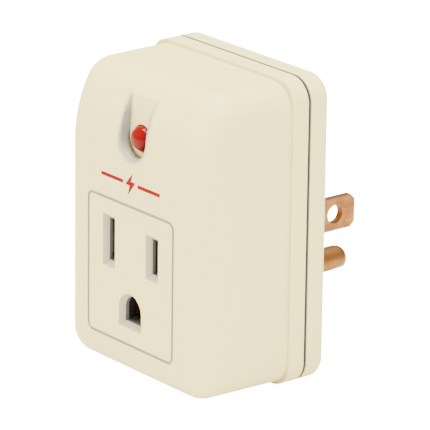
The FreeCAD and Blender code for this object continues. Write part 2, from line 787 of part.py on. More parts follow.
def coverScrews():
    """Four pan head screws driven from the back, with a cross recess."""
    screws = []
    for index, (x, z) in enumerate(screwPlaces()):
        name = f"Screw{index}"
        head = cylinder(name + "Head", "screwHead", "screwHeadTall", x, "screwSeat - screwHeadTall", z)
        shank = cylinder(name + "Shank", "screwShank", "screwLong", x, "screwSeat - rootIn", z)
        top = "screwSeat - screwHeadTall"
        dome = softEnds(name + "Dome", head, "screwSoft", lambda edge: onPlane(edge, 1, -worth(top)))
        deep = f"{top} + screwCrossDeep"
        arms = []
        for way, wide, tall in (("X", "screwArm", "screwCross / 2"), ("Z", "screwCross / 2", "screwArm")):
            arms.append(block(f"{name}Arm{way}", f"{x} - {wide}", f"{x} + {wide}", "-overrun", deep,
                              f"{z} - {tall}", f"{z} + {tall}"))
        screws.append(cutFrom(name, fused(name + "Solid", [dome, shank]), arms))
    return group("cover_screws", screws)


def flatBlade(label, side):
    """A blade with its tip corners cut off, a hole, and a shoulder that seats inside the cover."""
    piece = newBody(label)
    half = "bladeTall / 2"
    wide = "shoulderTall / 2"
    sketch = sketchOn(piece, "YZ", f"{side} * bladeAcross - bladeThick / 2")
    seat = "-coverPlate"
    step = "-(coverPlate + shoulderLong)"
    upper = [
        ("-bladeTail", half), (step, half), (step, wide), (seat, wide), (seat, half),
        ("bladeReach - bladeTip", half), ("bladeReach", f"{half} - bladeTip"),
    ]
    lower = [(along, f"-({up})") for along, up in reversed(upper)]
    outline(sketch, upper + lower)
    circle(sketch, "bladeHoleAt", "0", "bladeHole / 2")
    rivets = [("-rivetAhead", f"{way} * rivetUp") for way in (-1, 1)]
    for along, up in rivets:
        circle(sketch, along, up, "rivetRadius")
    pad(piece, sketch, "bladeThick")
    faces = [worth(f"{side} * bladeAcross + {way} * bladeThick / 2") for way in (-1, 1)]
    roundOff(piece, "bladeEdge", lambda edge: any(onPlane(edge, 0, face) for face in faces)
             and edge.BoundBox.YMin > -1 and edge.Curve.TypeId == "Part::GeomLine"
             or edge.BoundBox.YMin > worth("bladeReach") - 1e-3)
    return node(piece, label)


def groundPin():
    """A U-shaped pin, open below, with a bullet nose, a seat plate and a tenon for the ground contact."""
    root = "coverPlate + rootIn"
    base = "-groundDown - pinLeg"
    rod = newBody("PinRod")
    arch(sketchOn(rod, "XZ", "-pinReach"), "0", "-groundDown", "pinWide / 2", base)
    pad(rod, rod.Group[-1], f"pinReach + {root}")
    bullet = newBody("PinBullet")
    profile = sketchOn(bullet, "YZ")
    outline(profile, [(f"-({root})", "0"), ("pinReach", "0"), ("pinReach", "pinTip", "pinNose"),
                      ("pinReach - pinTaper", "pinRound", "pinTaper"), (f"-({root})", "pinRound")])
    turned(bullet, profile, "H_Axis")
    placed(bullet, "0", "0", "-groundDown")
    channel = newBody("PinChannel")
    inner = sketchOn(channel, "XZ", "-(pinReach - pinNoseLong)")
    arch(inner, "0", "-groundDown", "pinWide / 2 - pinSheet", f"{base} - overrun")
    pad(channel, inner, f"pinReach - pinNoseLong + {root}")
    nosed = doc.addObject("Part::Common", "PinNosed")
    nosed.Base = rod
    nosed.Tool = bullet
    doc.recompute()
    shell = cutFrom("PinShell", nosed, [channel])
    seat = newBody("PinSeat")
    plate = sketchOn(seat, "XZ", "coverPlate")
    outline(plate, box("-pinPlate / 2", "pinPlate / 2", "-groundDown - pinPlate / 2",
                       "-groundDown + pinPlate / 2", "plateCorner"))
    pad(seat, plate, "pinPlateLong")
    tenon = sketchOn(seat, "XZ", "coverPlate + pinPlateLong - rootIn")
    circle(tenon, "0", "-groundDown", "tenonRadius")
    pad(seat, tenon, "groundWeb + contactSheet + rootIn - coverPlate - pinPlateLong")
    head = sketchOn(seat, "XZ", "groundWeb + contactSheet")
    circle(head, "0", "-groundDown", "tenonHead")
    pad(seat, head, "tenonHeadLong")
    return node(fused("ground_pin", [shell, seat]), "ground_pin")


def bladeContact(label, side):
    """A stamped fork that grips a flat blade, with a tail riveted to this plug's own blade."""
    piece = newBody(label)
    sheetEdge = "bladeThick / 2"
    shoulder = "contactWeb + contactRise"
    fork = [
        (sheetEdge, "tailStart"), (f"{sheetEdge} + contactSheet", "tailStart"),
        (f"{sheetEdge} + contactSheet", "contactWeb"), ("contactHalf", "contactWeb"),
        ("contactHalf", shoulder), ("contactPinch + contactSheet", "pinchAhead"),
        ("contactMouth + contactSheet", "contactTip"), ("contactMouth", "contactTip"),
        ("contactPinch", "pinchAhead"), ("contactHalf - contactSheet", shoulder),
        ("contactHalf - contactSheet", "contactWeb + contactSheet"),
        ("-(contactHalf - contactSheet)", "contactWeb + contactSheet"),
        ("-(contactHalf - contactSheet)", shoulder), ("-contactPinch", "pinchAhead"),
        ("-contactMouth", "contactTip"), ("-(contactMouth + contactSheet)", "contactTip"),
        ("-(contactPinch + contactSheet)", "pinchAhead"), ("-contactHalf", shoulder),
        ("-contactHalf", "contactWeb"), (sheetEdge, "contactWeb"),
    ]
    sketch = sketchOn(piece, "XY", "-contactTall / 2")
    outline(sketch, [(f"{side} * (bladeAcross + {out})", f"-({ahead})") for out, ahead in fork])
    pad(piece, sketch, "contactTall")
    low, high = sorted((f"{side} * bladeAcross", f"{side} * (bladeAcross + contactHalf)"), key=worth)
    for start in ("tailTall / 2", "-contactTall"):
        trim = sketchOn(piece, "XY", start)
        outline(trim, box(low, high, "-(contactWeb - contactSheet / 2)", "-tailStart + overrun"))
        pocket(piece, trim, "contactTall - tailTall / 2")
    holes = sketchOn(piece, "YZ", f"{side} * bladeAcross - contactWeb / 2")
    for way in (-1, 1):
        circle(holes, "-rivetAhead", f"{way} * rivetUp", "rivetRadius")
    pocket(piece, holes, "contactWeb")
    return node(piece, label)


def groundContact():
    """A wider fork for a ground pin, held on the tenon of this plug's own pin."""
    piece = newBody("ground_contact")
    shoulder = "groundWeb + contactRise"
    out = [
        ("groundHalf", "groundWeb"), ("groundHalf", shoulder),
        ("groundPinch + contactSheet", "groundPinchAhead"), ("groundMouth + contactSheet", "groundTip"),
        ("groundMouth", "groundTip"), ("groundPinch", "groundPinchAhead"),
        ("groundHalf - contactSheet", shoulder), ("groundHalf - contactSheet", "groundWeb + contactSheet"),
    ]
    fork = out + [(f"-({x})", ahead) for x, ahead in reversed(out)]
    sketch = sketchOn(piece, "XY", "-groundDown - groundContactTall / 2")
    outline(sketch, [(x, f"-({ahead})") for x, ahead in fork])
    pad(piece, sketch, "groundContactTall")
    hole = sketchOn(piece, "XZ", "groundWeb - overrun")
    circle(hole, "0", "-groundDown", "tenonRadius")
    pocket(piece, hole, "contactSheet + 2 * overrun")
    return node(piece, "ground_contact")


def contactRivets():
    """Two rivets through each blade and its contact's tail."""
    rivets = []
    grip = "bladeThick + contactSheet"
    starts = {
        "Neutral": "-(bladeAcross + bladeThick / 2 + contactSheet)",
        "Line": "bladeAcross - bladeThick / 2",
    }
    for name, start in starts.items():
        left = f"{start} - rivetHeadTall"
        rounds = [
            ("Shank", "rivetRadius", f"{grip} + 2 * rivetHeadTall", left),
            ("Near", "rivetHead", "rivetHeadTall", left),
            ("Far", "rivetHead", "rivetHeadTall", f"{start} + {grip}"),
        ]
        for way in (-1, 1):
            label = f"Rivet{name}{way + 1}"
            up = f"{way} * rivetUp"
            rivets.append(fused(label, [cylinder(label + part, radius, long, x, "rivetAhead", up, sideways)
                                        for part, radius, long, x in rounds]))
    return group("contact_rivets", rivets)


def contactRetainer():
    """The insulating plate behind the contacts, pressed forward by the cover's posts."""
    piece = newBody("contact_retainer")
    sketch = sketchOn(piece, "XZ", "retainerAhead")
    outline(sketch, box("-retainerHalf", "retainerHalf", "-retainerDrop", "retainerTop", "retainerCorner"))
    for side in (-1, 1):
        near = f"{side} * (bladeAcross + bladeThick / 2 - retainerGap)"
        far = f"{side} * (bladeAcross + bladeThick / 2 + contactSheet + retainerGap)"
        low, high = sorted((near, far), key=worth)
        outline(sketch, box(low, high, "-(contactTall / 2 + retainerGap)", "contactTall / 2 + retainerGap"))
    half = "groundHalf + retainerGap"
    tall = "groundContactTall / 2 + retainerGap"
    outline(sketch, box(f"-({half})", half, f"-groundDown - ({tall})", f"-groundDown + ({tall})"))
    pad(piece, sketch, "retainerThick - postGap")
    return node(piece, "contact_retainer")


# the circuit board and what it carries
surgeDiscs = [
    ("mov_line_ground", "-movFarLeft"),
    ("mov_neutral_ground", "-movNearLeft"),
    ("mov_line_neutral", "movRight"),
]
axialParts = [
    ("dropping_resistor", "resistorRadius", "resistorLong", "resistorUp", 0.85),
    ("rectifier_diode", "diodeRadius", "diodeLong", "diodeUp", 1),
]
wires = [
    ("line_wire", "bladeAcross", "bladeTall / 2"),
    ("neutral_wire", "-bladeAcross", "bladeTall / 2"),
    ("ground_wire", "0", "-groundDown + groundContactTall / 2"),
]


def boardJoints():
    """Where each lead goes through the board: across, up, radius."""
    joints = []
    for _, x in surgeDiscs:
        joints += [(x, f"movUp + {way} * movPitch / 2", "leadRadius") for way in (-1, 1)]
    for _, _, _, up, _ in axialParts:
        joints += [(f"{side} * axialSpan / 2", up, "leadRadius") for side in (-1, 1)]
    joints += [("fuseAcross", f"movUp + {way} * fuseSpan / 2", "leadRadius") for way in (-1, 1)]
    joints += [(f"{side} * ledPitch / 2", "scoopUp", "ledHole") for side in (-1, 1)]
    joints += [(x, "padUp", "coreRadius") for _, x, _ in wires]
    return joints


def circuitBoard():
    piece = newBody("circuit_board")
    sketch = sketchOn(piece, "XZ", "boardAhead")
    notch = "screwAcross - bossRadius - boardGap"
    ledge = "screwUp - bossRadius - boardGap"
    rightSide = [("boardHalf", "boardBottom"), ("boardHalf", ledge), (notch, ledge), (notch, "boardTop")]
    outline(sketch, rightSide + [(f"-({x})", z) for x, z in reversed(rightSide)])
    for x, z, radius in boardJoints():
        circle(sketch, x, z, f"{radius} + holeGap")
    pad(piece, sketch, "boardThick")
    return node(piece, "circuit_board")


def solderJoints():
    cones = []
    for index, (x, z, radius) in enumerate(boardJoints()):
        cone = doc.addObject("Part::Cone", f"Solder{index}")
        cone.setExpression("Radius1", tied("solderTip"))
        cone.setExpression("Radius2", tied("solderRadius"))
        cone.setExpression("Height", tied("solderTall"))
        cones.append(placed(cone, x, "boardAhead - solderTall", z, forward))
    return group("solder_joints", cones)


def surgeDisc(label, x):
    """A coated varistor disc standing on edge, with a neck round each lead."""
    left = f"{x} - movThick / 2"
    disc = cylinder(label + "Disc", "movRadius", "movThick", left, "movAhead", "movUp", sideways)
    soft = softEnds(label + "Soft", disc, "movRound")
    necks = [cylinder(f"{label}Neck{way + 1}", "movNeckRadius", "movNeckLong", x, "movNeckAhead",
                      f"movUp + {way} * movPitch / 2") for way in (-1, 1)]
    return node(fused(label, [soft] + necks), label)


def thermalFuse():
    low = "movUp - fuseLong / 2"
    can = cylinder("FuseCan", "fuseRadius", "fuseLong", "fuseAcross", "fuseAhead", low, upright)
    return node(softEnds("thermal_fuse", can, "fuseRound"), "thermal_fuse")


def axialPart(label, radius, long, up, waist):
    """A small part with wire ends; a waist below 1 leaves its ends fuller than its middle."""
    piece = newBody(label)
    sketch = sketchOn(piece, "XZ")
    end = f"{long} / 2"
    half = [(end, "0"), (end, radius, "axialRound")]
    if waist < 1:
        half += [(f"{long} / 4", radius), (f"{long} / 4 - axialRound", f"{radius} * {waist}")]
    outline(sketch, half + [(f"-({corner[0]})",) + corner[1:] for corner in reversed(half)])
    turned(piece, sketch, "H_Axis")
    placed(piece, "0", "axialAhead", up)
    return node(piece, label)


def pipe(piece, plane, offset, path, radius, profilePlane, profileOffset, profileAt):
    """A round wire along straight runs and arcs."""
    spine = sketchOn(piece, plane, offset)
    outline(spine, path, closed=False)
    profile = sketchOn(piece, profilePlane, profileOffset)
    circle(profile, profileAt[0], profileAt[1], radius)
    doc.recompute()
    feature = piece.newObject("PartDesign::AdditivePipe", piece.Name + "Pipe")
    feature.Profile = profile
    feature.Spine = (spine, [f"Edge{number}" for number in range(1, len(spine.Shape.Edges) + 1)])
    doc.recompute()
    return feature


def wire(label, x, start):
    """An insulated wire up from a blade or contact, bent once, through the board; stripped at both ends."""
    piece = newBody(label)
    core = [("-wireAhead", start), ("-wireAhead", "padUp", "wireBend"), ("-boardAhead", "padUp")]
    pipe(piece, "YZ", x, core, "coreRadius", "XY", start, (x, "-wireAhead"))
    foot = f"{start} + wireStrip"
    cover = [("-wireAhead", foot), ("-wireAhead", "padUp", "wireBend"),
             ("-(boardAhead + boardThick + wireShy)", "padUp")]
    pipe(piece, "YZ", x, cover, "wireRadius", "XY", foot, (x, "-wireAhead"))
    return node(piece, label)


def leadStaple(label, tool, plane, offset, middle, span, ahead):
    """A part's two bent leads: one staple of wire less the part's own body."""
    piece = newBody(label)
    ends = [f"{middle} - ({span}) / 2", f"{middle} + ({span}) / 2"]
    if plane == "XY":
        path = [(ends[0], "-boardAhead"), (ends[0], f"-({ahead})", "leadBend"),
                (ends[1], f"-({ahead})", "leadBend"), (ends[1], "-boardAhead")]
        at = (ends[0], offset)
    else:
        path = [("-boardAhead", ends[0]), (f"-({ahead})", ends[0], "leadBend"),
                (f"-({ahead})", ends[1], "leadBend"), ("-boardAhead", ends[1])]
        at = (offset, ends[0])
    pipe(piece, plane, offset, path, "leadRadius", "XZ", "boardAhead", at)
    return cutFrom(label + "Leads", piece, [tool])


def componentLeads(fuse, axials):
    leads = []
    for label, x in surgeDiscs:
        for way in (-1, 1):
            leads.append(cylinder(f"{label}Lead{way + 1}", "leadRadius", "movNeckAhead - boardAhead", x,
                                  "boardAhead", f"movUp + {way} * movPitch / 2"))
    leads.append(leadStaple("FuseWire", fuse, "YZ", "fuseAcross", "movUp", "fuseSpan", "fuseAhead"))
    for part, (label, _, _, up, _) in zip(axials, axialParts):
        leads.append(leadStaple(label + "Wire", part, "XY", up, "0", "axialSpan", "axialAhead"))
    return group("component_leads", leads)


def indicatorLamp():
    """A round-nosed lamp body: rim, barrel and dome, seated behind the collar."""
    back = "ledTip - ledTall"
    rim = cylinder("LampRim", "ledRim", "ledRimTall", "0", back, "scoopUp")
    barrel = cylinder("LampBarrel", "ledRadius", "ledTall - ledRadius", "0", back, "scoopUp")
    dome = doc.addObject("Part::Sphere", "LampDome")
    dome.setExpression("Radius", tied("ledRadius"))
    placed(dome, "0", "ledTip - ledRadius", "scoopUp", forward)
    return node(fused("indicator_lamp", [rim, barrel, dome]), "indicator_lamp")


def lampLeads():
    leads = []
    for side in (-1, 1):
        x = f"{side} * ledPitch / 2"
        leads.append(block(f"LampLead{side + 1}", f"{x} - ledLead / 2", f"{x} + ledLead / 2", "boardAhead",
                           "ledTip - ledTall", "scoopUp - ledLead / 2", "scoopUp + ledLead / 2"))
    return group("lamp_leads", leads)


def lampSleeves():
    sleeves = []
    for side in (-1, 1):
        x = f"{side} * ledPitch / 2"
        name = f"LampSleeve{side + 1}"
        start = "boardAhead + boardThick + sleeveLift"
        stop = "ledTip - ledTall - sleeveEnd"
        tube = cylinder(name + "Tube", "sleeveRadius", f"{stop} - ({start})", x, start, "scoopUp")
        bore = cylinder(name + "Bore", "ledHole", "bodyDepth", x, "0", "scoopUp")
        sleeves.append(cutFrom(name, tube, [bore]))
    return group("lamp_lead_sleeves", sleeves)


frontHousing()
backCover()
coverScrews()
for name, side in (("line", 1), ("neutral", -1)):
    flatBlade(name + "_blade", side)
    bladeContact(name + "_contact", side)
groundPin()
groundContact()
contactRivets()
contactRetainer()
circuitBoard()
for label, x in surgeDiscs:
    surgeDisc(label, x)
fuse = thermalFuse()
axials = [axialPart(*entry) for entry in axialParts]
componentLeads(fuse, axials)
solderJoints()
for entry in wires:
    wire(*entry)
indicatorLamp()
lampLeads()
lampSleeves()

os.makedirs("parts", exist_ok=True)
for piece in doc.Objects:
    if "Invalid" in piece.State or "Error" in piece.State:
        raise RuntimeError(f"{piece.Name} did not compute: {piece.State}")
for piece in nodes:
    if piece.Shape.isNull() or not piece.Shape.isValid():
        raise RuntimeError(f"{piece.Label} is not a sound solid")
    piece.Shape.exportStep(f"parts/{piece.Label}.step")
    print(piece.Label, round(piece.Shape.Volume, 2), len(piece.Shape.Solids))
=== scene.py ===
import math
import bpy
from mathutils import Matrix, Vector


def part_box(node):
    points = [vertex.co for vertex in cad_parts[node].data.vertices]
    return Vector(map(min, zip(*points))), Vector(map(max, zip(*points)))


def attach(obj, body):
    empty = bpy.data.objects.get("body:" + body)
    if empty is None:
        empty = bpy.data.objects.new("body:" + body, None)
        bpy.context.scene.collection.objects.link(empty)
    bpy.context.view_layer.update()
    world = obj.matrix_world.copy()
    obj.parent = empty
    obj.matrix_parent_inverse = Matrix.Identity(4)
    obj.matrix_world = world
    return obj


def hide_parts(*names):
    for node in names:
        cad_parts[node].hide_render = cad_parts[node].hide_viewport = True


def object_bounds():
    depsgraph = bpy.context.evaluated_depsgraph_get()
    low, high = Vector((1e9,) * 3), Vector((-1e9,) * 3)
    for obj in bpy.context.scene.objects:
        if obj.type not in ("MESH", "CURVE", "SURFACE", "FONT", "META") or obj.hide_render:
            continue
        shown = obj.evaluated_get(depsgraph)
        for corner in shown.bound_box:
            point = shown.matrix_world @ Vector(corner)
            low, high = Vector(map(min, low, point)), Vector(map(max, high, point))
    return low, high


# Surge protector plug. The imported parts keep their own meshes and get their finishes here; screws, rivets,
# solder and wires are made again in finer detail. X is right from the front, Y towards the wall, Z up;
# the origin is on the wall plane. Lengths are in metres; mm turns a length in millimetres into metres.

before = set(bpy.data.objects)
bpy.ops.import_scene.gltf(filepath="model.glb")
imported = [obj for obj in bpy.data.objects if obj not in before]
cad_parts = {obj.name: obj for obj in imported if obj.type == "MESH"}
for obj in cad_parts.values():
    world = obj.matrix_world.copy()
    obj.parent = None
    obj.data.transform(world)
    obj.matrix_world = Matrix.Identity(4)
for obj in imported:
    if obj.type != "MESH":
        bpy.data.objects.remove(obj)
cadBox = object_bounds()
scene = bpy.context.scene
mm = 0.001
front = cadBox[0].y  # the flat front face
print("frame loaded,", len(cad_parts), "nodes")


def join(tree, source, target):
    tree.links.new(source, target)


def makeNode(tree, kind, x, y, fields=None, inputs=None):
    node = tree.nodes.new(kind)
    node.location = (x, y)
    for name, value in (fields or {}).items():
        setattr(node, name, value)
    for name, value in (inputs or {}).items():
        node.inputs[name].default_value = value
    return node


def makeMath(tree, operation, x, y, first, second=None, third=None, clamp=False):
    node = makeNode(tree, "ShaderNodeMath", x, y, {"operation": operation, "use_clamp": clamp})
    for index, value in enumerate((first, second, third)):
        if isinstance(value, (int, float)):
            node.inputs[index].default_value = value
        elif value is not None:
            join(tree, value, node.inputs[index])
    return node.outputs[0]


def addSockets(tree, inputs, outputs):
    kinds = {bool: "Bool", int: "Int", float: "Float", Vector: "Vector", tuple: "Color"}
    for label, value in inputs.items():
        kind = "NodeSocket" + kinds[type(value)]
        socket = tree.interface.new_socket(name=label, in_out="INPUT", socket_type=kind)
        socket.default_value = value
    for label, kind in outputs.items():
        tree.interface.new_socket(name=label, in_out="OUTPUT", socket_type="NodeSocket" + kind)


def startGroup(name, inputs, outputs):
    tree = bpy.data.node_groups.new(name, "ShaderNodeTree")
    addSockets(tree, inputs, outputs)
    return tree, makeNode(tree, "NodeGroupInput", -1100, 0), makeNode(tree, "NodeGroupOutput", 800, 0)


# noise in object space; the stretch vector draws it out along an axis
def stretchedNoise(tree, entry, scaleName, x, y, detail=3.0, stretchName=None):
    coords = makeNode(tree, "ShaderNodeTexCoord", x - 400, y)
    noise = makeNode(tree, "ShaderNodeTexNoise", x, y, inputs={"Detail": detail, "Roughness": 0.55})
    source = coords.outputs["Object"]
    if stretchName:
        mapping = makeNode(tree, "ShaderNodeMapping", x - 200, y)
        join(tree, source, mapping.inputs["Vector"])
        join(tree, entry.outputs[stretchName], mapping.inputs["Scale"])
        source = mapping.outputs["Vector"]
    join(tree, source, noise.inputs["Vector"])
    join(tree, entry.outputs[scaleName], noise.inputs["Scale"])
    return noise.outputs["Fac"]


def remap(tree, source, low, high, toLow, toHigh, x, y):
    node = makeNode(tree, "ShaderNodeMapRange", x, y, inputs={"From Min": low, "From Max": high})
    node.inputs["To Min"].default_value = toLow
    node.inputs["To Max"].default_value = toHigh
    join(tree, source, node.inputs["Value"])
    return node.outputs["Result"]


def blendColour(tree, mask, first, second, x, y):
    node = makeNode(tree, "ShaderNodeMix", x, y, {"data_type": "RGBA"})
    join(tree, mask, node.inputs["Factor"])
    for label, value in (("A", first), ("B", second)):
        socket = [item for item in node.inputs if item.name == label and item.type == "RGBA"][0]
        if isinstance(value, tuple):
            socket.default_value = value
        else:
            join(tree, value, socket)
    return [item for item in node.outputs if item.type == "RGBA"][0]


def addBump(tree, entry, grain, depthName, distance, leave):
    bump = makeNode(tree, "ShaderNodeBump", 300, -300, inputs={"Distance": distance})
    join(tree, entry.outputs[depthName], bump.inputs["Strength"])
    join(tree, grain, bump.inputs["Height"])
    join(tree, bump.outputs["Normal"], leave.inputs["Normal"])


# moulded plastic: faint cloudiness, a fine spark-eroded grain, and roughness that varies with the cloud
def makeMouldedSurface():
    tree, entry, leave = startGroup("MouldedSurface", {
        "Base": (0.8, 0.8, 0.8, 1), "Cloud": (0.7, 0.7, 0.7, 1), "Cloud Scale": 60.0, "Cloud Amount": 0.5,
        "Grain Scale": 5000.0, "Grain Depth": 0.1, "Roughness": 0.45, "Roughness Spread": 0.08,
    }, {"Color": "Color", "Roughness": "Float", "Normal": "Vector"})
    cloud = stretchedNoise(tree, entry, "Cloud Scale", -500, 300)
    mask = remap(tree, cloud, 0.35, 0.65, 0, 1, -300, 300)
    amount = makeMath(tree, "MULTIPLY", -100, 300, mask, entry.outputs["Cloud Amount"])
    colour = blendColour(tree, amount, entry.outputs["Base"], entry.outputs["Cloud"], 200, 300)
    join(tree, colour, leave.inputs["Color"])
    grain = stretchedNoise(tree, entry, "Grain Scale", -500, -300, 2.0)
    addBump(tree, entry, grain, "Grain Depth", 0.05 * mm, leave)
    centred = makeMath(tree, "SUBTRACT", -200, 0, cloud, 0.5)
    spread = makeMath(tree, "MULTIPLY_ADD", 200, 0, centred, entry.outputs["Roughness Spread"],
                      entry.outputs["Roughness"], True)
    join(tree, spread, leave.inputs["Roughness"])
    return tree


# rolled or drawn metal: fine grain along one direction, patchy tarnish, and handling that dulls it
def makeDrawnMetal():
    tree, entry, leave = startGroup("DrawnMetal", {
        "Base": (0.8, 0.5, 0.3, 1), "Tarnish": (0.4, 0.25, 0.15, 1), "Tarnish Scale": 260.0,
        "Tarnish Amount": 0.4, "Grain Scale": 900.0, "Grain Stretch": Vector((1, 0.06, 1)),
        "Grain Depth": 0.25, "Roughness": 0.3, "Roughness Spread": 0.3,
    }, {"Color": "Color", "Roughness": "Float", "Normal": "Vector"})
    patches = stretchedNoise(tree, entry, "Tarnish Scale", -500, 400, 5.0)
    mask = remap(tree, patches, 0.42, 0.68, 0, 1, -300, 400)
    grain = stretchedNoise(tree, entry, "Grain Scale", -500, -200, 4.0, "Grain Stretch")
    streak = remap(tree, grain, 0.3, 0.7, 0, 0.5, -300, 100)
    both = makeMath(tree, "ADD", -100, 300, mask, streak, clamp=True)
    amount = makeMath(tree, "MULTIPLY", 50, 300, both, entry.outputs["Tarnish Amount"])
    colour = blendColour(tree, amount, entry.outputs["Base"], entry.outputs["Tarnish"], 250, 300)
    join(tree, colour, leave.inputs["Color"])
    rough = makeMath(tree, "MULTIPLY_ADD", 250, 0, amount, entry.outputs["Roughness Spread"],
                     entry.outputs["Roughness"], True)
    join(tree, rough, leave.inputs["Roughness"])
    addBump(tree, entry, grain, "Grain Depth", 0.03 * mm, leave)
    return tree


# 1 inside a box in object space, falling to 0 over a soft edge: recesses, bands and tracks
def makeBoxMask():
    tree, entry, leave = startGroup("BoxMask", {
        "Lowest": Vector((-1, -1, -1)), "Highest": Vector((1, 1, 1)), "Soft Edge": 0.1 * mm, "Amount": 1.0,
    }, {"Mask": "Float"})
    coords = makeNode(tree, "ShaderNodeTexCoord", -900, 200)
    sides = []
    for first, second, y in ((entry.outputs["Lowest"], coords.outputs["Object"], 200),
                             (coords.outputs["Object"], entry.outputs["Highest"], -100)):
        gap = makeNode(tree, "ShaderNodeVectorMath", -700, y, {"operation": "SUBTRACT"})
        join(tree, first, gap.inputs[0])
        join(tree, second, gap.inputs[1])
        sides.append(gap.outputs[0])
    outside = makeNode(tree, "ShaderNodeVectorMath", -500, 0, {"operation": "MAXIMUM"})
    join(tree, sides[0], outside.inputs[0])
    join(tree, sides[1], outside.inputs[1])
    split = makeNode(tree, "ShaderNodeSeparateXYZ", -300, 0)
    join(tree, outside.outputs[0], split.inputs[0])
    widest = makeMath(tree, "MAXIMUM", -100, 100, split.outputs[0], split.outputs[1])
    widest = makeMath(tree, "MAXIMUM", 50, 0, widest, split.outputs[2])
    share = makeMath(tree, "DIVIDE", 200, 0, widest, entry.outputs["Soft Edge"])
    inside = makeMath(tree, "SUBTRACT", 350, 0, 1.0, share, clamp=True)
    mask = makeMath(tree, "MULTIPLY", 500, 0, inside, entry.outputs["Amount"])
    join(tree, mask, leave.inputs["Mask"])
    return tree


# 1 where a wall rounds a thumbnail-shaped recess, fading out over its rolled rim and towards its open top
def makeRecessMask():
    tree, entry, leave = startGroup("RecessMask", {
        "Middle Up": 20.0 * mm, "Half Width": 3.6 * mm, "Rim": 4.7 * mm, "Foot": 0.3 * mm,
        "Behind": -26.0 * mm, "Fade Start": 25.0 * mm, "Fade End": 31.0 * mm, "Roll": 1.4, "Amount": 0.8,
    }, {"Mask": "Float"})
    coords = makeNode(tree, "ShaderNodeTexCoord", -900, 0)
    split = makeNode(tree, "ShaderNodeSeparateXYZ", -750, 0)
    join(tree, coords.outputs["Object"], split.inputs[0])
    over = makeMath(tree, "SUBTRACT", -600, -100, split.outputs[2], entry.outputs["Middle Up"])
    below = makeMath(tree, "MINIMUM", -450, -100, over, 0.0)
    square = makeMath(tree, "MULTIPLY", -300, -100, below, below)
    squares = makeMath(tree, "MULTIPLY_ADD", -150, 0, split.outputs[0], split.outputs[0], square)
    reach = makeMath(tree, "SQRT", -50, 0, squares)
    start = makeMath(tree, "SUBTRACT", -50, 200, entry.outputs["Half Width"], entry.outputs["Foot"])
    past = makeMath(tree, "SUBTRACT", 100, 200, reach, start)
    climb = makeMath(tree, "DIVIDE", 250, 200, past, entry.outputs["Foot"], clamp=True)
    span = makeMath(tree, "SUBTRACT", -50, -300, entry.outputs["Rim"], entry.outputs["Half Width"])
    short = makeMath(tree, "SUBTRACT", 100, -300, entry.outputs["Rim"], reach)
    fade = makeMath(tree, "DIVIDE", 250, -300, short, span, clamp=True)
    soft = makeMath(tree, "POWER", 400, -300, fade, entry.outputs["Roll"])
    ahead = makeMath(tree, "LESS_THAN", 250, -500, split.outputs[1], entry.outputs["Behind"])
    left = makeMath(tree, "SUBTRACT", -50, -600, entry.outputs["Fade End"], split.outputs[2])
    whole = makeMath(tree, "SUBTRACT", -50, -750, entry.outputs["Fade End"], entry.outputs["Fade Start"])
    high = makeMath(tree, "DIVIDE", 250, -650, left, whole, clamp=True)
    wall = makeMath(tree, "MULTIPLY", 450, 100, climb, soft)
    shown = makeMath(tree, "MULTIPLY", 450, -600, ahead, high)
    mask = makeMath(tree, "MULTIPLY", 600, 0, wall, shown)
    scaled = makeMath(tree, "MULTIPLY", 750, 0, mask, entry.outputs["Amount"])
    join(tree, scaled, leave.inputs["Mask"])
    return tree


mouldedSurface = makeMouldedSurface()
drawnMetal = makeDrawnMetal()
boxMask = makeBoxMask()
recessMask = makeRecessMask()


# a Principled material whose colour, roughness and normal come from a shared group; each area is
# (lowest corner, highest corner, soft edge, amount, colour) in millimetres and repaints what lies in its box;
# a recess is (the recess group's settings, colour)
def newMaterial(name, group, settings, shader, areas=(), recess=None):
    material = bpy.data.materials.new(name)
    material.use_nodes = True
    tree = material.node_tree
    tree.nodes.clear()
    output = makeNode(tree, "ShaderNodeOutputMaterial", 500, 0)
    surface = makeNode(tree, "ShaderNodeBsdfPrincipled", 200, 0, inputs=shader)
    join(tree, surface.outputs["BSDF"], output.inputs["Surface"])
    effect = makeNode(tree, "ShaderNodeGroup", -1400, 0, {"node_tree": group}, settings)
    colour = effect.outputs["Color"]
    for index, (lowest, highest, soft, amount, tint) in enumerate(areas):
        box = makeNode(tree, "ShaderNodeGroup", -1300 + 90 * index, 400, {"node_tree": boxMask}, {
            "Lowest": Vector(lowest) * mm, "Highest": Vector(highest) * mm, "Soft Edge": soft * mm,
            "Amount": amount,
        })
        colour = blendColour(tree, box.outputs["Mask"], colour, tint, -1250 + 90 * index, 200)
    if recess:
        hollow = makeNode(tree, "ShaderNodeGroup", -300, 400, {"node_tree": recessMask}, recess[0])
        colour = blendColour(tree, hollow.outputs["Mask"], colour, recess[1], -100, 200)
    join(tree, colour, surface.inputs["Base Color"])
    join(tree, effect.outputs["Roughness"], surface.inputs["Roughness"])
    join(tree, effect.outputs["Normal"], surface.inputs["Normal"])
    return material


# display values 0-255 as linear colour
def linear(red, green, blue):
    def one(value):
        share = value / 255
        return share / 12.92 if share <= 0.04045 else ((share + 0.055) / 1.055) ** 2.4
    return (one(red), one(green), one(blue), 1.0)


# the case: warm cream plastic, with shade painted as greys into its seam, groove, slots, pin pocket, flange
# step and scoop
caseLook = {
    "base": (0.81, 0.665, 0.235, 1), "cloud": (0.78, 0.635, 0.215, 1), "roughness": 0.48,
    "bevel": (0.42, 0.36, 0.22, 1), "wall": (0.125, 0.125, 0.12, 1), "inside": (0.022, 0.017, 0.012, 1),
    "seam": (0.075, 0.077, 0.082, 1), "groove": (0.33, 0.305, 0.235, 1), "scoop": (0.14, 0.15, 0.175, 1),
    "pocket": (0.10, 0.097, 0.09, 1),
}
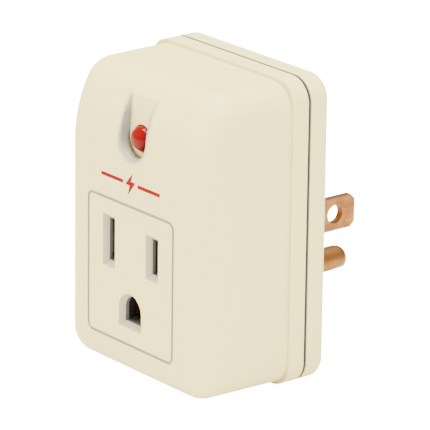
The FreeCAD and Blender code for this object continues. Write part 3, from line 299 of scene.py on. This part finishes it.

# where that painted shade lies, in millimetres: half width, lowest and highest Z, start and end behind the
# front face, soft edge, then the amount and the colour
casePaintedShade = {
    "outletGroove": (13, -19, 8.8, 0.1, 0.8, 0.06, 0.85, "groove"),
    "slotBevels": (10.5, -17, 6.5, 0.14, 1.08, 0.08, 1.0, "bevel"),
    "slotWalls": (10.5, -17, 6.5, 1.18, 2.0, 0.06, 1.0, "wall"),
    "hollow": (16, -19, 8.8, 2.1, 16.8, 0.10, 1.0, "inside"),
    "pinPocket": (3.6, -15.6, -8.4, 2.1, 5.4, 0.4, 0.85, "pocket"),
    "seam": (30, -40, 40, 24.68, 25.18, 0.14, 0.95, "seam"),
    "flangeStep": (19.8, -25.7, 31.9, 20.8, 21.0, 0.30, 0.35, "groove"),
}
# the shade on the scoop's wall: the scoop's own half width, and where the shade stops on the rim round it
scoopShade = {"Middle Up": 20.75 * mm, "Half Width": 3.6 * mm, "Rim": 4.75 * mm, "Foot": 0.25 * mm,
              "Behind": -26.5 * mm, "Amount": 0.88}


def makeCasePlastic():
    face = front / mm
    areas = []
    for half, low, high, start, end, soft, amount, tint in casePaintedShade.values():
        areas.append(((-half, face + start, low), (half, face + end, high), soft, amount, caseLook[tint]))
    return newMaterial("casePlastic", mouldedSurface, {
        "Base": caseLook["base"], "Cloud": caseLook["cloud"], "Cloud Scale": 90.0, "Cloud Amount": 0.35,
        "Grain Scale": 5200.0, "Grain Depth": 0.18, "Roughness": caseLook["roughness"],
        "Roughness Spread": 0.12,
    }, {"IOR": 1.5, "Subsurface Weight": 0.04, "Subsurface Scale": 0.8 * mm, "Specular IOR Level": 0.28},
        areas, (scoopShade, caseLook["scoop"]))


# metals: base, tarnish, tarnish scale and amount, grain scale, stretch and depth, roughness and its spread
metalLooks = {
    "bladeCopper": ((0.36, 0.152, 0.04, 1), (0.16, 0.062, 0.02, 1), 330.0, 0.55,
                    1100.0, (1, 0.08, 1), 0.4, 0.34, 0.3),
    "contactBrass": ((0.60, 0.22, 0.06, 1), (0.26, 0.09, 0.025, 1), 420.0, 0.5,
                     1300.0, (1, 0.1, 1), 0.3, 0.34, 0.3),
    "rivetBrass": (linear(224, 190, 128), linear(150, 112, 66), 700.0, 0.35,
                   2600.0, (1, 1, 1), 0.2, 0.25, 0.2),
    "screwSteel": (linear(196, 196, 192), linear(120, 118, 112), 600.0, 0.4,
                   2400.0, (1, 0.3, 1), 0.25, 0.28, 0.25),
    "tinnedWire": (linear(214, 214, 210), linear(150, 148, 142), 800.0, 0.35,
                   3000.0, (1, 0.4, 1), 0.2, 0.22, 0.2),
    "solderMetal": (linear(188, 190, 192), linear(120, 122, 124), 1400.0, 0.6,
                    2600.0, (1, 1, 1), 0.5, 0.3, 0.35),
    "fuseCan": (linear(206, 206, 202), linear(150, 148, 144), 500.0, 0.3,
                1800.0, (1, 1, 0.08), 0.3, 0.3, 0.2),
}
finishes = {"casePlastic": makeCasePlastic()}
for name, (base, tarnish, scale, amount, grain, stretch, depth, roughness, spread) in metalLooks.items():
    finishes[name] = newMaterial(name, drawnMetal, {
        "Base": base, "Tarnish": tarnish, "Tarnish Scale": scale, "Tarnish Amount": amount,
        "Grain Scale": grain, "Grain Stretch": Vector(stretch), "Grain Depth": depth,
        "Roughness": roughness, "Roughness Spread": spread,
    }, {"Metallic": 1.0})

# coloured bands on the two small parts, and the copper tracks on the back of the board
bandLook = {"halfWide": 0.28, "reach": 40, "soft": 0.05, "brown": linear(96, 52, 26),
            "black": linear(20, 20, 20), "orange": linear(226, 110, 30), "gold": linear(178, 138, 60),
            "silver": linear(200, 200, 200)}
trackLook = {"halfWide": 0.8, "depth": 0.05, "above": 1, "soft": 0.05, "amount": 0.95,
             "colour": linear(176, 112, 66)}


def bands(places):
    half = bandLook["halfWide"]
    far = bandLook["reach"]
    areas = []
    for x, tint in places:
        areas.append(((x - half, -far, -far), (x + half, far, far), bandLook["soft"], 1.0, bandLook[tint]))
    return areas


def tracks(runs):
    half = trackLook["halfWide"]
    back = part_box("circuit_board")[1].y / mm
    areas = []
    for left, right, low, high in runs:
        lowest = (left - half, back - trackLook["depth"], low - half)
        highest = (right + half, back + trackLook["above"], high + half)
        areas.append((lowest, highest, trackLook["soft"], trackLook["amount"], trackLook["colour"]))
    return areas


# plastics and coatings: base, cloud, cloud scale and amount, grain depth, roughness, shader inputs, areas
plasticLooks = {
    "retainerFibre": ((52, 48, 45), (34, 31, 29), 900.0, 0.8, 0.45, 0.75, {}, ()),
    "varistorCoating": ((34, 74, 158), (24, 56, 128), 700.0, 0.6, 0.5, 0.32, {"Coat Weight": 0.3}, ()),
    "resistorBody": ((206, 182, 146), (188, 162, 124), 900.0, 0.6, 0.35, 0.5, {},
                     bands([(-2.4, "brown"), (-1.3, "black"), (-0.4, "orange"), (2.3, "gold")])),
    "diodeBody": ((26, 26, 27), (38, 38, 40), 900.0, 0.5, 0.3, 0.35, {}, bands([(1.8, "silver")])),
    "wireBlack": ((24, 24, 25), (34, 34, 36), 500.0, 0.5, 0.2, 0.4, {}, ()),
    "wireWhite": ((232, 232, 228), (220, 219, 212), 500.0, 0.5, 0.2, 0.4, {}, ()),
    "wireGreen": ((28, 112, 48), (22, 92, 38), 500.0, 0.5, 0.2, 0.4, {}, ()),
    "sleevePlastic": ((226, 222, 208), (210, 204, 188), 700.0, 0.5, 0.25, 0.55, {}, ()),
    "boardLaminate": ((150, 116, 66), (126, 94, 50), 1500.0, 0.8, 0.5, 0.5, {}, tracks([
        (-12.5, -12.5, 6.9, 12.75), (-12.5, 0, 6.9, 6.9), (-7, -7, 6.9, 12.75), (-7, 1.27, 20.75, 20.75),
        (6.35, 7.3, 6.9, 9.4), (7.3, 12.6, 23.6, 23.6), (12.6, 12.6, 12.75, 12.75),
        (-5.08, -5.08, 24.7, 27.6),
    ])),
}
for name, (base, cloud, scale, amount, depth, roughness, shader, areas) in plasticLooks.items():
    finishes[name] = newMaterial(name, mouldedSurface, {
        "Base": linear(*base), "Cloud": linear(*cloud), "Cloud Scale": scale, "Cloud Amount": amount,
        "Grain Scale": 6000.0, "Grain Depth": depth, "Roughness": roughness, "Roughness Spread": 0.15,
    }, shader, areas)

# the lamp: deep red epoxy, with painted shade darkening it towards its rim
lampLook = {"base": (0.17, 0.0016, 0.0014, 1), "deep": (0.10, 0.0008, 0.0008, 1),
            "rim": (0.03, 0.0004, 0.0004, 1)}
# painted shade: the lens is darkened over all of it that lies behind Y -26.5
lampRimShade = [((-9, -26.5, 0), (9, 0, 40), 0.5, 0.8, lampLook["rim"])]  # all of the lens behind Y -26.5
finishes["lampLens"] = newMaterial("lampLens", mouldedSurface, {
    "Base": lampLook["base"], "Cloud": lampLook["deep"], "Cloud Scale": 420.0, "Cloud Amount": 0.5,
    "Grain Scale": 3000.0, "Grain Depth": 0.005, "Roughness": 0.035, "Roughness Spread": 0.02,
}, {"IOR": 1.45, "Specular IOR Level": 0.15}, lampRimShade)

nodeFinish = {
    "front_housing": "casePlastic", "back_cover": "casePlastic", "line_blade": "bladeCopper",
    "neutral_blade": "bladeCopper", "ground_pin": "bladeCopper", "line_contact": "contactBrass",
    "neutral_contact": "contactBrass", "ground_contact": "contactBrass", "contact_rivets": "rivetBrass",
    "cover_screws": "screwSteel", "contact_retainer": "retainerFibre", "circuit_board": "boardLaminate",
    "mov_line_ground": "varistorCoating", "mov_neutral_ground": "varistorCoating",
    "mov_line_neutral": "varistorCoating", "thermal_fuse": "fuseCan", "dropping_resistor": "resistorBody",
    "rectifier_diode": "diodeBody", "component_leads": "tinnedWire", "solder_joints": "solderMetal",
    "line_wire": "wireBlack", "neutral_wire": "wireWhite", "ground_wire": "wireGreen",
    "indicator_lamp": "lampLens", "lamp_leads": "tinnedWire", "lamp_lead_sleeves": "sleevePlastic",
}
for name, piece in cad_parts.items():
    piece.data.materials.clear()
    piece.data.materials.append(finishes[nodeFinish[name]])
print("finishes on", len(nodeFinish), "nodes")


# geometry trees: "Geometry" comes in as points or a path, the named inputs are sizes
def startShape(name, inputs):
    tree = bpy.data.node_groups.new(name, "GeometryNodeTree")
    tree.interface.new_socket(name="Geometry", in_out="INPUT", socket_type="NodeSocketGeometry")
    addSockets(tree, inputs, {"Geometry": "Geometry"})
    return tree, makeNode(tree, "NodeGroupInput", -1600, 0), makeNode(tree, "NodeGroupOutput", 1800, 0)


# smooth faces with sharp edges where the surface turns more than the limit
def softShade(tree, mesh, limit, x, y):
    smooth = makeNode(tree, "GeometryNodeSetShadeSmooth", x, y, {"domain": "FACE"})
    join(tree, mesh, smooth.inputs[0])
    angle = makeNode(tree, "GeometryNodeInputMeshEdgeAngle", x, y - 200)
    steep = makeMath(tree, "GREATER_THAN", x + 150, y - 200, angle.outputs[0], limit)
    sharp = makeNode(tree, "GeometryNodeSetShadeSmooth", x + 300, y, {"domain": "EDGE"},
                     {"Shade Smooth": False})
    join(tree, smooth.outputs[0], sharp.inputs[0])
    join(tree, steep, sharp.inputs["Selection"])
    return sharp.outputs[0]


# the end of every tree: copies made real, then the finish
def finishShape(tree, shape, material, leave):
    real = makeNode(tree, "GeometryNodeRealizeInstances", 1400, 0)
    join(tree, shape, real.inputs[0])
    paint = makeNode(tree, "GeometryNodeSetMaterial", 1600, 0, inputs={"Material": material})
    join(tree, real.outputs[0], paint.inputs[0])
    join(tree, paint.outputs[0], leave.inputs["Geometry"])
    return paint


# a turned shape along +Z: the profile gives its share of the radius at each share of its length
def turnedSolid(tree, entry, profile, x, y):
    end = makeNode(tree, "ShaderNodeCombineXYZ", x, y - 200)
    join(tree, entry.outputs["Length"], end.inputs["Z"])
    line = makeNode(tree, "GeometryNodeCurvePrimitiveLine", x + 150, y)
    join(tree, end.outputs[0], line.inputs["End"])
    rings = makeNode(tree, "GeometryNodeResampleCurve", x + 300, y)
    join(tree, line.outputs[0], rings.inputs["Curve"])
    join(tree, entry.outputs["Rings"], rings.inputs["Count"])
    along = makeNode(tree, "GeometryNodeSplineParameter", x + 150, y - 350)
    curve = makeNode(tree, "ShaderNodeFloatCurve", x + 300, y - 350)
    points = curve.mapping.curves[0].points
    for index, (share, out) in enumerate(profile):
        point = points[index] if index < 2 else points.new(share, out)
        point.location = (share, out)
        point.handle_type = "VECTOR"
    curve.mapping.update()
    join(tree, along.outputs["Factor"], curve.inputs["Value"])
    radius = makeMath(tree, "MULTIPLY", x + 500, y - 350, curve.outputs[0], entry.outputs["Radius"])
    ring = makeNode(tree, "GeometryNodeCurvePrimitiveCircle", x + 500, y + 200, inputs={"Radius": 1.0})
    join(tree, entry.outputs["Sides"], ring.inputs["Resolution"])
    sweep = makeNode(tree, "GeometryNodeCurveToMesh", x + 700, y, inputs={"Fill Caps": True})
    join(tree, rings.outputs[0], sweep.inputs["Curve"])
    join(tree, radius, sweep.inputs["Scale"])
    join(tree, ring.outputs[0], sweep.inputs["Profile Curve"])
    return sweep.outputs[0]


# one copy at each point, turned, with a little difference in size from a fixed seed
def copies(tree, entry, shape, x, y):
    turn = makeNode(tree, "FunctionNodeEulerToRotation", x - 200, y - 200)
    join(tree, entry.outputs["Turn"], turn.inputs[0])
    low = makeMath(tree, "SUBTRACT", x - 400, y - 350, 1.0, entry.outputs["Spread"])
    high = makeMath(tree, "ADD", x - 400, y - 500, 1.0, entry.outputs["Spread"])
    vary = makeNode(tree, "FunctionNodeRandomValue", x - 200, y - 400, {"data_type": "FLOAT"})
    lows = [item for item in vary.inputs if item.name == "Min" and item.type == "VALUE"][0]
    highs = [item for item in vary.inputs if item.name == "Max" and item.type == "VALUE"][0]
    join(tree, low, lows)
    join(tree, high, highs)
    join(tree, entry.outputs["Seed"], vary.inputs["Seed"])
    sizes = [item for item in vary.outputs if item.type == "VALUE"][0]
    placed = makeNode(tree, "GeometryNodeInstanceOnPoints", x, y)
    join(tree, entry.outputs["Geometry"], placed.inputs["Points"])
    join(tree, shape, placed.inputs["Instance"])
    join(tree, turn.outputs[0], placed.inputs["Rotation"])
    join(tree, sizes, placed.inputs["Scale"])
    return placed.outputs[0]


turnedInputs = {"Length": 1.0, "Radius": 1.0, "Rings": 24, "Sides": 24, "Turn": Vector((0, 0, 0)),
                "Spread": 0.0, "Seed": 7}
crease = 0.7  # radians; edges that turn more than this stay sharp


def makeTurnedCopies(name, profile, material):
    tree, entry, leave = startShape(name, turnedInputs)
    solid = softShade(tree, turnedSolid(tree, entry, profile, -1300, 0), crease, -400, 0)
    finishShape(tree, copies(tree, entry, solid, 600, 0), material, leave)
    return tree


# evaluates a tree on points or a path and keeps the result as a plain mesh piece
def growPiece(name, tree, values, vertices, edges, replaced):
    seedMesh = bpy.data.meshes.new(name + "Points")
    seedMesh.from_pydata(vertices, edges, [])
    carrier = bpy.data.objects.new(name + "Points", seedMesh)
    scene.collection.objects.link(carrier)
    modifier = carrier.modifiers.new("grow", "NODES")
    modifier.node_group = tree
    for item in tree.interface.items_tree:
        if item.in_out == "INPUT" and item.name in values:
            modifier[item.identifier] = values[item.name]
    bpy.context.view_layer.update()
    grown = carrier.evaluated_get(bpy.context.evaluated_depsgraph_get())
    mesh = bpy.data.meshes.new_from_object(grown)
    carrier.modifiers.remove(modifier)
    bpy.data.objects.remove(carrier)
    piece = bpy.data.objects.new(name, mesh)
    scene.collection.objects.link(piece)
    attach(piece, "root")
    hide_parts(replaced)
    print(name, len(mesh.polygons), "faces")


# cover screws: a pan head with a cross recess and a coarse thread for plastic
screwLook = {"headRadius": 2.3, "headTall": 1.5, "shankShare": 0.5, "crease": 0.6,
             "pitch": 1.0, "threadDepth": 0.26, "threadSlope": 3.2, "threadStart": 0.5, "threadFull": 1.3,
             "crossLong": 2.9, "crossWide": 0.7, "crossDeep": 0.8, "rings": 230, "sides": 28}


def makeScrewTree(long):
    head = screwLook["headTall"] / long
    shank = screwLook["shankShare"]
    profile = [(0, 0.7), (1, 0.1), (0.008, 0.82), (0.02, 0.93), (0.038, 1.0), (head - 0.006, 1.0),
               (head, 0.94), (head + 0.004, shank), (0.93, shank)]
    tree, entry, leave = startShape("coverScrewShape", {**turnedInputs, "Pitch": 1.0, "Thread Depth": 0.2})
    solid = turnedSolid(tree, entry, profile, -1500, 300)
    place = makeNode(tree, "GeometryNodeInputPosition", -1500, -400)
    split = makeNode(tree, "ShaderNodeSeparateXYZ", -1350, -400)
    join(tree, place.outputs[0], split.inputs[0])
    angle = makeMath(tree, "ARCTAN2", -1200, -300, split.outputs["Y"], split.outputs["X"])
    lap = makeMath(tree, "DIVIDE", -1050, -300, angle, 2 * math.pi)
    rise = makeMath(tree, "DIVIDE", -1050, -450, split.outputs["Z"], entry.outputs["Pitch"])
    phase = makeMath(tree, "FRACT", -750, -350, makeMath(tree, "ADD", -900, -350, lap, rise))
    away = makeMath(tree, "ABSOLUTE", -450, -350, makeMath(tree, "SUBTRACT", -600, -350, phase, 0.5))
    valley = makeMath(tree, "MULTIPLY", -300, -350, away, screwLook["threadSlope"], clamp=True)
    start, full = ((screwLook["headTall"] + screwLook[key]) * mm for key in ("threadStart", "threadFull"))
    started = remap(tree, split.outputs["Z"], start, full, 0, 1, -750, -600)
    runOut = makeMath(tree, "MULTIPLY", -300, -500, valley, started)
    cut = makeMath(tree, "MULTIPLY", -150, -450, runOut, entry.outputs["Thread Depth"])
    share = makeMath(tree, "SUBTRACT", 0, -450, 1.0, cut)
    moved = makeNode(tree, "ShaderNodeCombineXYZ", 300, -450)
    for axis in ("X", "Y"):
        join(tree, makeMath(tree, "MULTIPLY", 150, -400, split.outputs[axis], share), moved.inputs[axis])
    join(tree, split.outputs["Z"], moved.inputs["Z"])
    thread = makeNode(tree, "GeometryNodeSetPosition", 300, 300)
    join(tree, solid, thread.inputs["Geometry"])
    join(tree, moved.outputs[0], thread.inputs["Position"])
    reach, wide, deep = (screwLook[key] * mm for key in ("crossLong", "crossWide", "crossDeep"))
    recess = makeNode(tree, "GeometryNodeMeshBoolean", 500, 300,
                      {"operation": "DIFFERENCE", "solver": "EXACT"})
    join(tree, thread.outputs[0], recess.inputs["Mesh 1"])
    for size in ((reach, wide, 2 * deep), (wide, reach, 2 * deep)):
        arm = makeNode(tree, "GeometryNodeMeshCube", 300, 600, inputs={"Size": size})
        join(tree, arm.outputs["Mesh"], recess.inputs["Mesh 2"])
    shaded = softShade(tree, recess.outputs["Mesh"], screwLook["crease"], 650, 300)
    finishShape(tree, copies(tree, entry, shaded, 1200, 0), finishes["screwSteel"], leave)
    return tree


def addScrews():
    lowest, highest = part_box("cover_screws")
    long = highest.y - lowest.y
    radius = screwLook["headRadius"] * mm
    across = highest.x - radius
    points = [(x, highest.y, z) for z in (highest.z - radius, lowest.z + radius) for x in (-across, across)]
    values = {"Length": long, "Radius": radius, "Rings": screwLook["rings"],
              "Sides": screwLook["sides"], "Turn": (math.pi / 2, 0, 0), "Pitch": screwLook["pitch"] * mm,
              "Thread Depth": screwLook["threadDepth"]}
    growPiece("coverScrews", makeScrewTree(long / mm), values, points, [], "cover_screws")


# contact rivets: domed heads on both sides of each blade and its contact
rivetLook = {"radius": 1.6, "long": 3.2, "shankShare": 0.62, "rings": 64, "sides": 28,
             "head": [(0, 0.45), (0.02, 0.68), (0.05, 0.85), (0.09, 0.96), (0.13, 1.0), (0.155, 1.0)]}


def addRivets():
    lowest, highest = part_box("contact_rivets")
    head = rivetLook["head"] + [(0.16, rivetLook["shankShare"])]
    rest = [(1 - share, out) for share, out in reversed(head)]
    profile = [head[0], rest[-1]] + head[1:] + rest[:-1]
    radius = rivetLook["radius"] * mm
    long = rivetLook["long"] * mm
    middle = (lowest.y + highest.y) / 2
    heights = (lowest.z + radius, highest.z - radius)
    points = [(x, middle, z) for x in (lowest.x, highest.x - long) for z in heights]
    tree = makeTurnedCopies("rivetShape", profile, finishes["rivetBrass"])
    values = {"Length": long, "Radius": radius, "Rings": rivetLook["rings"], "Sides": rivetLook["sides"],
              "Turn": (0, math.pi / 2, 0)}
    growPiece("contactRivets", tree, values, points, [], "contact_rivets")


# solder joints: a hollow-sided cone round each lead, no two quite alike
solderLook = {"radius": 0.95, "spread": 0.05, "rings": 22, "sides": 22, "seed": 11,
              "profile": [(0, 1.0), (1, 0.12), (0.06, 0.93), (0.2, 0.72), (0.4, 0.55), (0.6, 0.46),
                          (0.8, 0.4), (0.93, 0.31)],
              "spots": [(-12.5, 12.75), (-12.5, 20.25), (-7, 12.75), (-7, 20.25), (12.6, 12.75),
                        (12.6, 20.25), (-5.08, 27.6), (5.08, 27.6), (-5.08, 24.7), (5.08, 24.7), (7.3, 9.4),
                        (7.3, 23.6), (-1.27, 20.75), (1.27, 20.75), (6.35, 6.9), (-6.35, 6.9), (0, 6.9)]}


def addSolder():
    lowest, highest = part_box("solder_joints")
    tree = makeTurnedCopies("solderShape", solderLook["profile"], finishes["solderMetal"])
    values = {"Length": highest.y - lowest.y, "Radius": solderLook["radius"] * mm,
              "Rings": solderLook["rings"], "Sides": solderLook["sides"], "Turn": (-math.pi / 2, 0, 0),
              "Spread": solderLook["spread"], "Seed": solderLook["seed"]}
    points = [(x * mm, lowest.y, z * mm) for x, z in solderLook["spots"]]
    growPiece("solderJoints", tree, values, points, [], "solder_joints")


# wires: a jacket over a twisted core that shows at both ends
wireLook = {"jacket": 0.8, "core": 0.4, "coreInner": 0.72, "bend": 0.9, "strip": 0.9, "endStrip": 1.75,
            "strands": 7, "twist": 900.0, "step": 0.12, "ahead": 9.0, "up": 6.9, "boardAhead": 6.3,
            "arcSteps": 10, "sides": 24}
wireFinishes = {"line_wire": ("wireBlack", "wire_black"), "neutral_wire": ("wireWhite", "wire_white"),
                "ground_wire": ("wireGreen", "wire_green")}


def makeWireTree(material):
    tree, entry, leave = startShape("wire" + material.name, {
        "Jacket Radius": 0.8 * mm, "Core Radius": 0.4 * mm, "Bend": 0.9 * mm, "Step": 0.1 * mm,
        "Twist": 900.0, "Jacket Start": 0.1, "Jacket End": 0.9, "Strands": 7})
    path = makeNode(tree, "GeometryNodeMeshToCurve", -1400, 0)
    join(tree, entry.outputs["Geometry"], path.inputs[0])
    bent = makeNode(tree, "GeometryNodeFilletCurve", -1200, 0, {"mode": "POLY"},
                    {"Count": wireLook["arcSteps"]})
    join(tree, path.outputs[0], bent.inputs["Curve"])
    join(tree, entry.outputs["Bend"], bent.inputs["Radius"])
    fine = makeNode(tree, "GeometryNodeResampleCurve", -1000, 0, {"mode": "LENGTH"})
    join(tree, bent.outputs[0], fine.inputs["Curve"])
    join(tree, entry.outputs["Step"], fine.inputs["Length"])
    along = makeNode(tree, "GeometryNodeSplineParameter", -1000, -300)
    tilt = makeMath(tree, "MULTIPLY", -800, -300, along.outputs["Length"], entry.outputs["Twist"])
    twisted = makeNode(tree, "GeometryNodeSetCurveTilt", -800, 0)
    join(tree, fine.outputs[0], twisted.inputs["Curve"])
    join(tree, tilt, twisted.inputs["Tilt"])
    star = makeNode(tree, "GeometryNodeCurveStar", -800, 300)
    inner = makeMath(tree, "MULTIPLY", -1000, 300, entry.outputs["Core Radius"], wireLook["coreInner"])
    join(tree, entry.outputs["Strands"], star.inputs["Points"])
    join(tree, inner, star.inputs["Inner Radius"])
    join(tree, entry.outputs["Core Radius"], star.inputs["Outer Radius"])
    core = makeNode(tree, "GeometryNodeCurveToMesh", -500, 200, inputs={"Fill Caps": True})
    join(tree, twisted.outputs[0], core.inputs["Curve"])
    join(tree, star.outputs[0], core.inputs["Profile Curve"])
    marked = makeNode(tree, "GeometryNodeStoreNamedAttribute", -300, 200,
                      {"data_type": "BOOLEAN", "domain": "FACE"}, {"Name": "core", "Value": True})
    join(tree, core.outputs[0], marked.inputs["Geometry"])
    trimmed = makeNode(tree, "GeometryNodeTrimCurve", -700, -500, {"mode": "FACTOR"})
    join(tree, fine.outputs[0], trimmed.inputs["Curve"])
    join(tree, entry.outputs["Jacket Start"], trimmed.inputs["Start"])
    join(tree, entry.outputs["Jacket End"], trimmed.inputs["End"])
    ring = makeNode(tree, "GeometryNodeCurvePrimitiveCircle", -700, -800,
                    inputs={"Resolution": wireLook["sides"]})
    join(tree, entry.outputs["Jacket Radius"], ring.inputs["Radius"])
    jacket = makeNode(tree, "GeometryNodeCurveToMesh", -400, -500, inputs={"Fill Caps": True})
    join(tree, trimmed.outputs[0], jacket.inputs["Curve"])
    join(tree, ring.outputs[0], jacket.inputs["Profile Curve"])
    both = makeNode(tree, "GeometryNodeJoinGeometry", 0, 0)
    join(tree, marked.outputs[0], both.inputs[0])
    join(tree, jacket.outputs[0], both.inputs[0])
    painted = finishShape(tree, softShade(tree, both.outputs[0], crease, 300, 0), material, leave)
    isCore = makeNode(tree, "GeometryNodeInputNamedAttribute", 1600, -300, {"data_type": "BOOLEAN"},
                      {"Name": "core"})
    metal = makeNode(tree, "GeometryNodeSetMaterial", 1750, 0, inputs={"Material": finishes["tinnedWire"]})
    join(tree, painted.outputs[0], metal.inputs[0])
    join(tree, [item for item in isCore.outputs if item.type == "BOOLEAN"][0], metal.inputs["Selection"])
    join(tree, metal.outputs[0], leave.inputs["Geometry"])
    return tree


def addWires():
    ahead, up, board = (wireLook[key] * mm for key in ("ahead", "up", "boardAhead"))
    bend = wireLook["bend"] * mm
    for node, (finish, slot) in wireFinishes.items():
        lowest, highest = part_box(node)
        x = (lowest.x + highest.x) / 2
        path = [(x, -ahead, lowest.z), (x, -ahead, up), (x, -board, up)]
        total = up - lowest.z + ahead - board - 2 * bend + bend * math.pi / 2
        values = {"Jacket Radius": wireLook["jacket"] * mm, "Core Radius": wireLook["core"] * mm,
                  "Bend": bend, "Step": wireLook["step"] * mm, "Twist": wireLook["twist"],
                  "Strands": wireLook["strands"], "Jacket Start": wireLook["strip"] * mm / total,
                  "Jacket End": 1 - wireLook["endStrip"] * mm / total}
        tree = makeWireTree(finishes[finish])
        growPiece(node + "Stranded", tree, values, path, [(0, 1), (1, 2)], node)


# the printed mark below the lamp: a thin red rule broken by a small lightning bolt, no lettering
markLook = {"reach": 8.6, "gap": 2.1, "low": 12.3, "high": 13.0, "proud": 0.02, "sunk": 0.02,
            "bolt": [(0.75, 14.9), (-1.5, 12.3), (-0.2, 12.3), (-0.8, 10.3), (1.5, 13.1), (0.15, 13.1)],
            "red": (0.22, 0.0018, 0.0024, 1), "deep": (0.18, 0.0014, 0.002, 1)}


def addMark():
    gap, reach, low, high = (markLook[key] for key in ("gap", "reach", "low", "high"))
    shapes = [
        [(-reach, low), (-gap, low), (-gap, high), (-reach, high)],
        [(gap, low), (reach, low), (reach, high), (gap, high)],
        markLook["bolt"],
    ]
    vertices, faces = [], []
    for shape in shapes:
        start = len(vertices)
        count = len(shape)
        for y in (front - markLook["proud"] * mm, front + markLook["sunk"] * mm):
            vertices += [(x * mm, y, z * mm) for x, z in shape]
        faces.append([start + index for index in range(count)])
        faces.append([start + count + index for index in reversed(range(count))])
        for index in range(count):
            after = (index + 1) % count
            faces.append([start + index, start + count + index, start + count + after, start + after])
    mesh = bpy.data.meshes.new("faceMark")
    mesh.from_pydata(vertices, [], faces)
    mark = bpy.data.objects.new("faceMark", mesh)
    scene.collection.objects.link(mark)
    mesh.materials.append(newMaterial("redInk", mouldedSurface, {
        "Base": markLook["red"], "Cloud": markLook["deep"], "Cloud Scale": 1800.0, "Cloud Amount": 0.6,
        "Grain Scale": 9000.0, "Grain Depth": 0.1, "Roughness": 0.5, "Roughness Spread": 0.1,
    }, {"Specular IOR Level": 0.04}))
    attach(mark, "root")


addScrews()
addRivets()
addSolder()
addWires()
addMark()
print("screws, rivets, solder, wires and face mark made")


# floor, light and camera
studio = {"floorSize": 3.0, "floorDrop": 0.2, "paper": 0.93, "world": 0.8, "glow": 14.0}
# each lamp's power, size, place and whether gloss shows it
studioLamps = {
    "keyPanel": (9.8, 0.5, (-0.35, -0.6, 0.45), False),
    "sidePanel": (10.6, 0.6, (0.75, -0.25, 0.3), True),
    "topPanel": (18.5, 0.5, (0.1, 0.0, 0.8), True),
    "sparkLamp": (5.5, 0.09, (-0.14, -0.09, 0.76), True),
}
view = {"azimuth": 50.716, "elevation": 18.72, "roll": 0.738, "distance": 0.686315, "lens": 312.26,
        "aside": 4.689 * mm, "rise": 3.769 * mm, "ahead": 16 * mm}


def makeFloorPaper():
    material = bpy.data.materials.new("floorPaper")
    material.use_nodes = True
    tree = material.node_tree
    surface = tree.nodes["Principled BSDF"]
    surface.inputs["Roughness"].default_value = 0.9
    coords = makeNode(tree, "ShaderNodeTexCoord", -600, 0)
    noise = makeNode(tree, "ShaderNodeTexNoise", -400, 0, inputs={"Scale": 8.0})
    join(tree, coords.outputs["Object"], noise.inputs["Vector"])
    grey = remap(tree, noise.outputs["Fac"], 0, 1, studio["paper"] * 0.985, studio["paper"], -200, 0)
    join(tree, grey, surface.inputs["Base Color"])
    path = makeNode(tree, "ShaderNodeLightPath", -400, -300)
    glow = makeMath(tree, "MULTIPLY", -200, -300, path.outputs["Is Camera Ray"], studio["glow"])
    surface.inputs["Emission Color"].default_value = (1, 1, 1, 1)
    join(tree, glow, surface.inputs["Emission Strength"])
    return material


def addFloor():
    level = cadBox[0].z - studio["floorDrop"] * mm
    size = studio["floorSize"]
    corners = [(-size, -size, level), (size, -size, level), (size, size, level), (-size, size, level)]
    mesh = bpy.data.meshes.new("studioFloor")
    mesh.from_pydata(corners, [], [(0, 1, 2, 3)])
    floor = bpy.data.objects.new("studioFloor", mesh)
    scene.collection.objects.link(floor)
    mesh.materials.append(makeFloorPaper())


def addLight(name, power, size, place, inGloss):
    lamp = bpy.data.lights.new(name, "AREA")
    lamp.energy = power
    lamp.size = size
    light = bpy.data.objects.new(name, lamp)
    light.location = place
    light.visible_glossy = inGloss
    middle = Vector((0, front / 2, 0))
    light.rotation_euler = (middle - Vector(place)).to_track_quat("-Z", "Y").to_euler()
    scene.collection.objects.link(light)


def addAir():
    world = bpy.data.worlds.new("studioAir")
    scene.world = world
    world.use_nodes = True
    air = world.node_tree.nodes["Background"]
    air.inputs["Color"].default_value = (1, 1, 1, 1)
    air.inputs["Strength"].default_value = studio["world"]


def addCamera():
    azimuth, elevation, roll = (math.radians(view[key]) for key in ("azimuth", "elevation", "roll"))
    right = Vector((math.cos(azimuth), math.sin(azimuth), 0))
    level = math.cos(elevation)
    back = Vector((math.sin(azimuth) * level, -math.cos(azimuth) * level, math.sin(elevation)))
    up = back.cross(right)
    target = Vector((0, -view["ahead"], 0)) + right * view["aside"] + up * view["rise"]
    across = right * math.cos(roll) + up * math.sin(roll)
    upward = up * math.cos(roll) - right * math.sin(roll)
    data = bpy.data.cameras.new("mainCamera")
    data.lens = view["lens"]
    data.sensor_width = 36
    data.clip_start = 0.05
    data.clip_end = 20
    camera = bpy.data.objects.new("mainCamera", data)
    turn = Matrix((across, upward, back)).transposed().to_4x4()
    camera.matrix_world = Matrix.Translation(target + back * view["distance"]) @ turn
    scene.collection.objects.link(camera)
    scene.camera = camera


addFloor()
for name, (power, size, place, inGloss) in studioLamps.items():
    addLight(name, power, size, place, inGloss)
addAir()
addCamera()
print("stage, lights and camera placed")
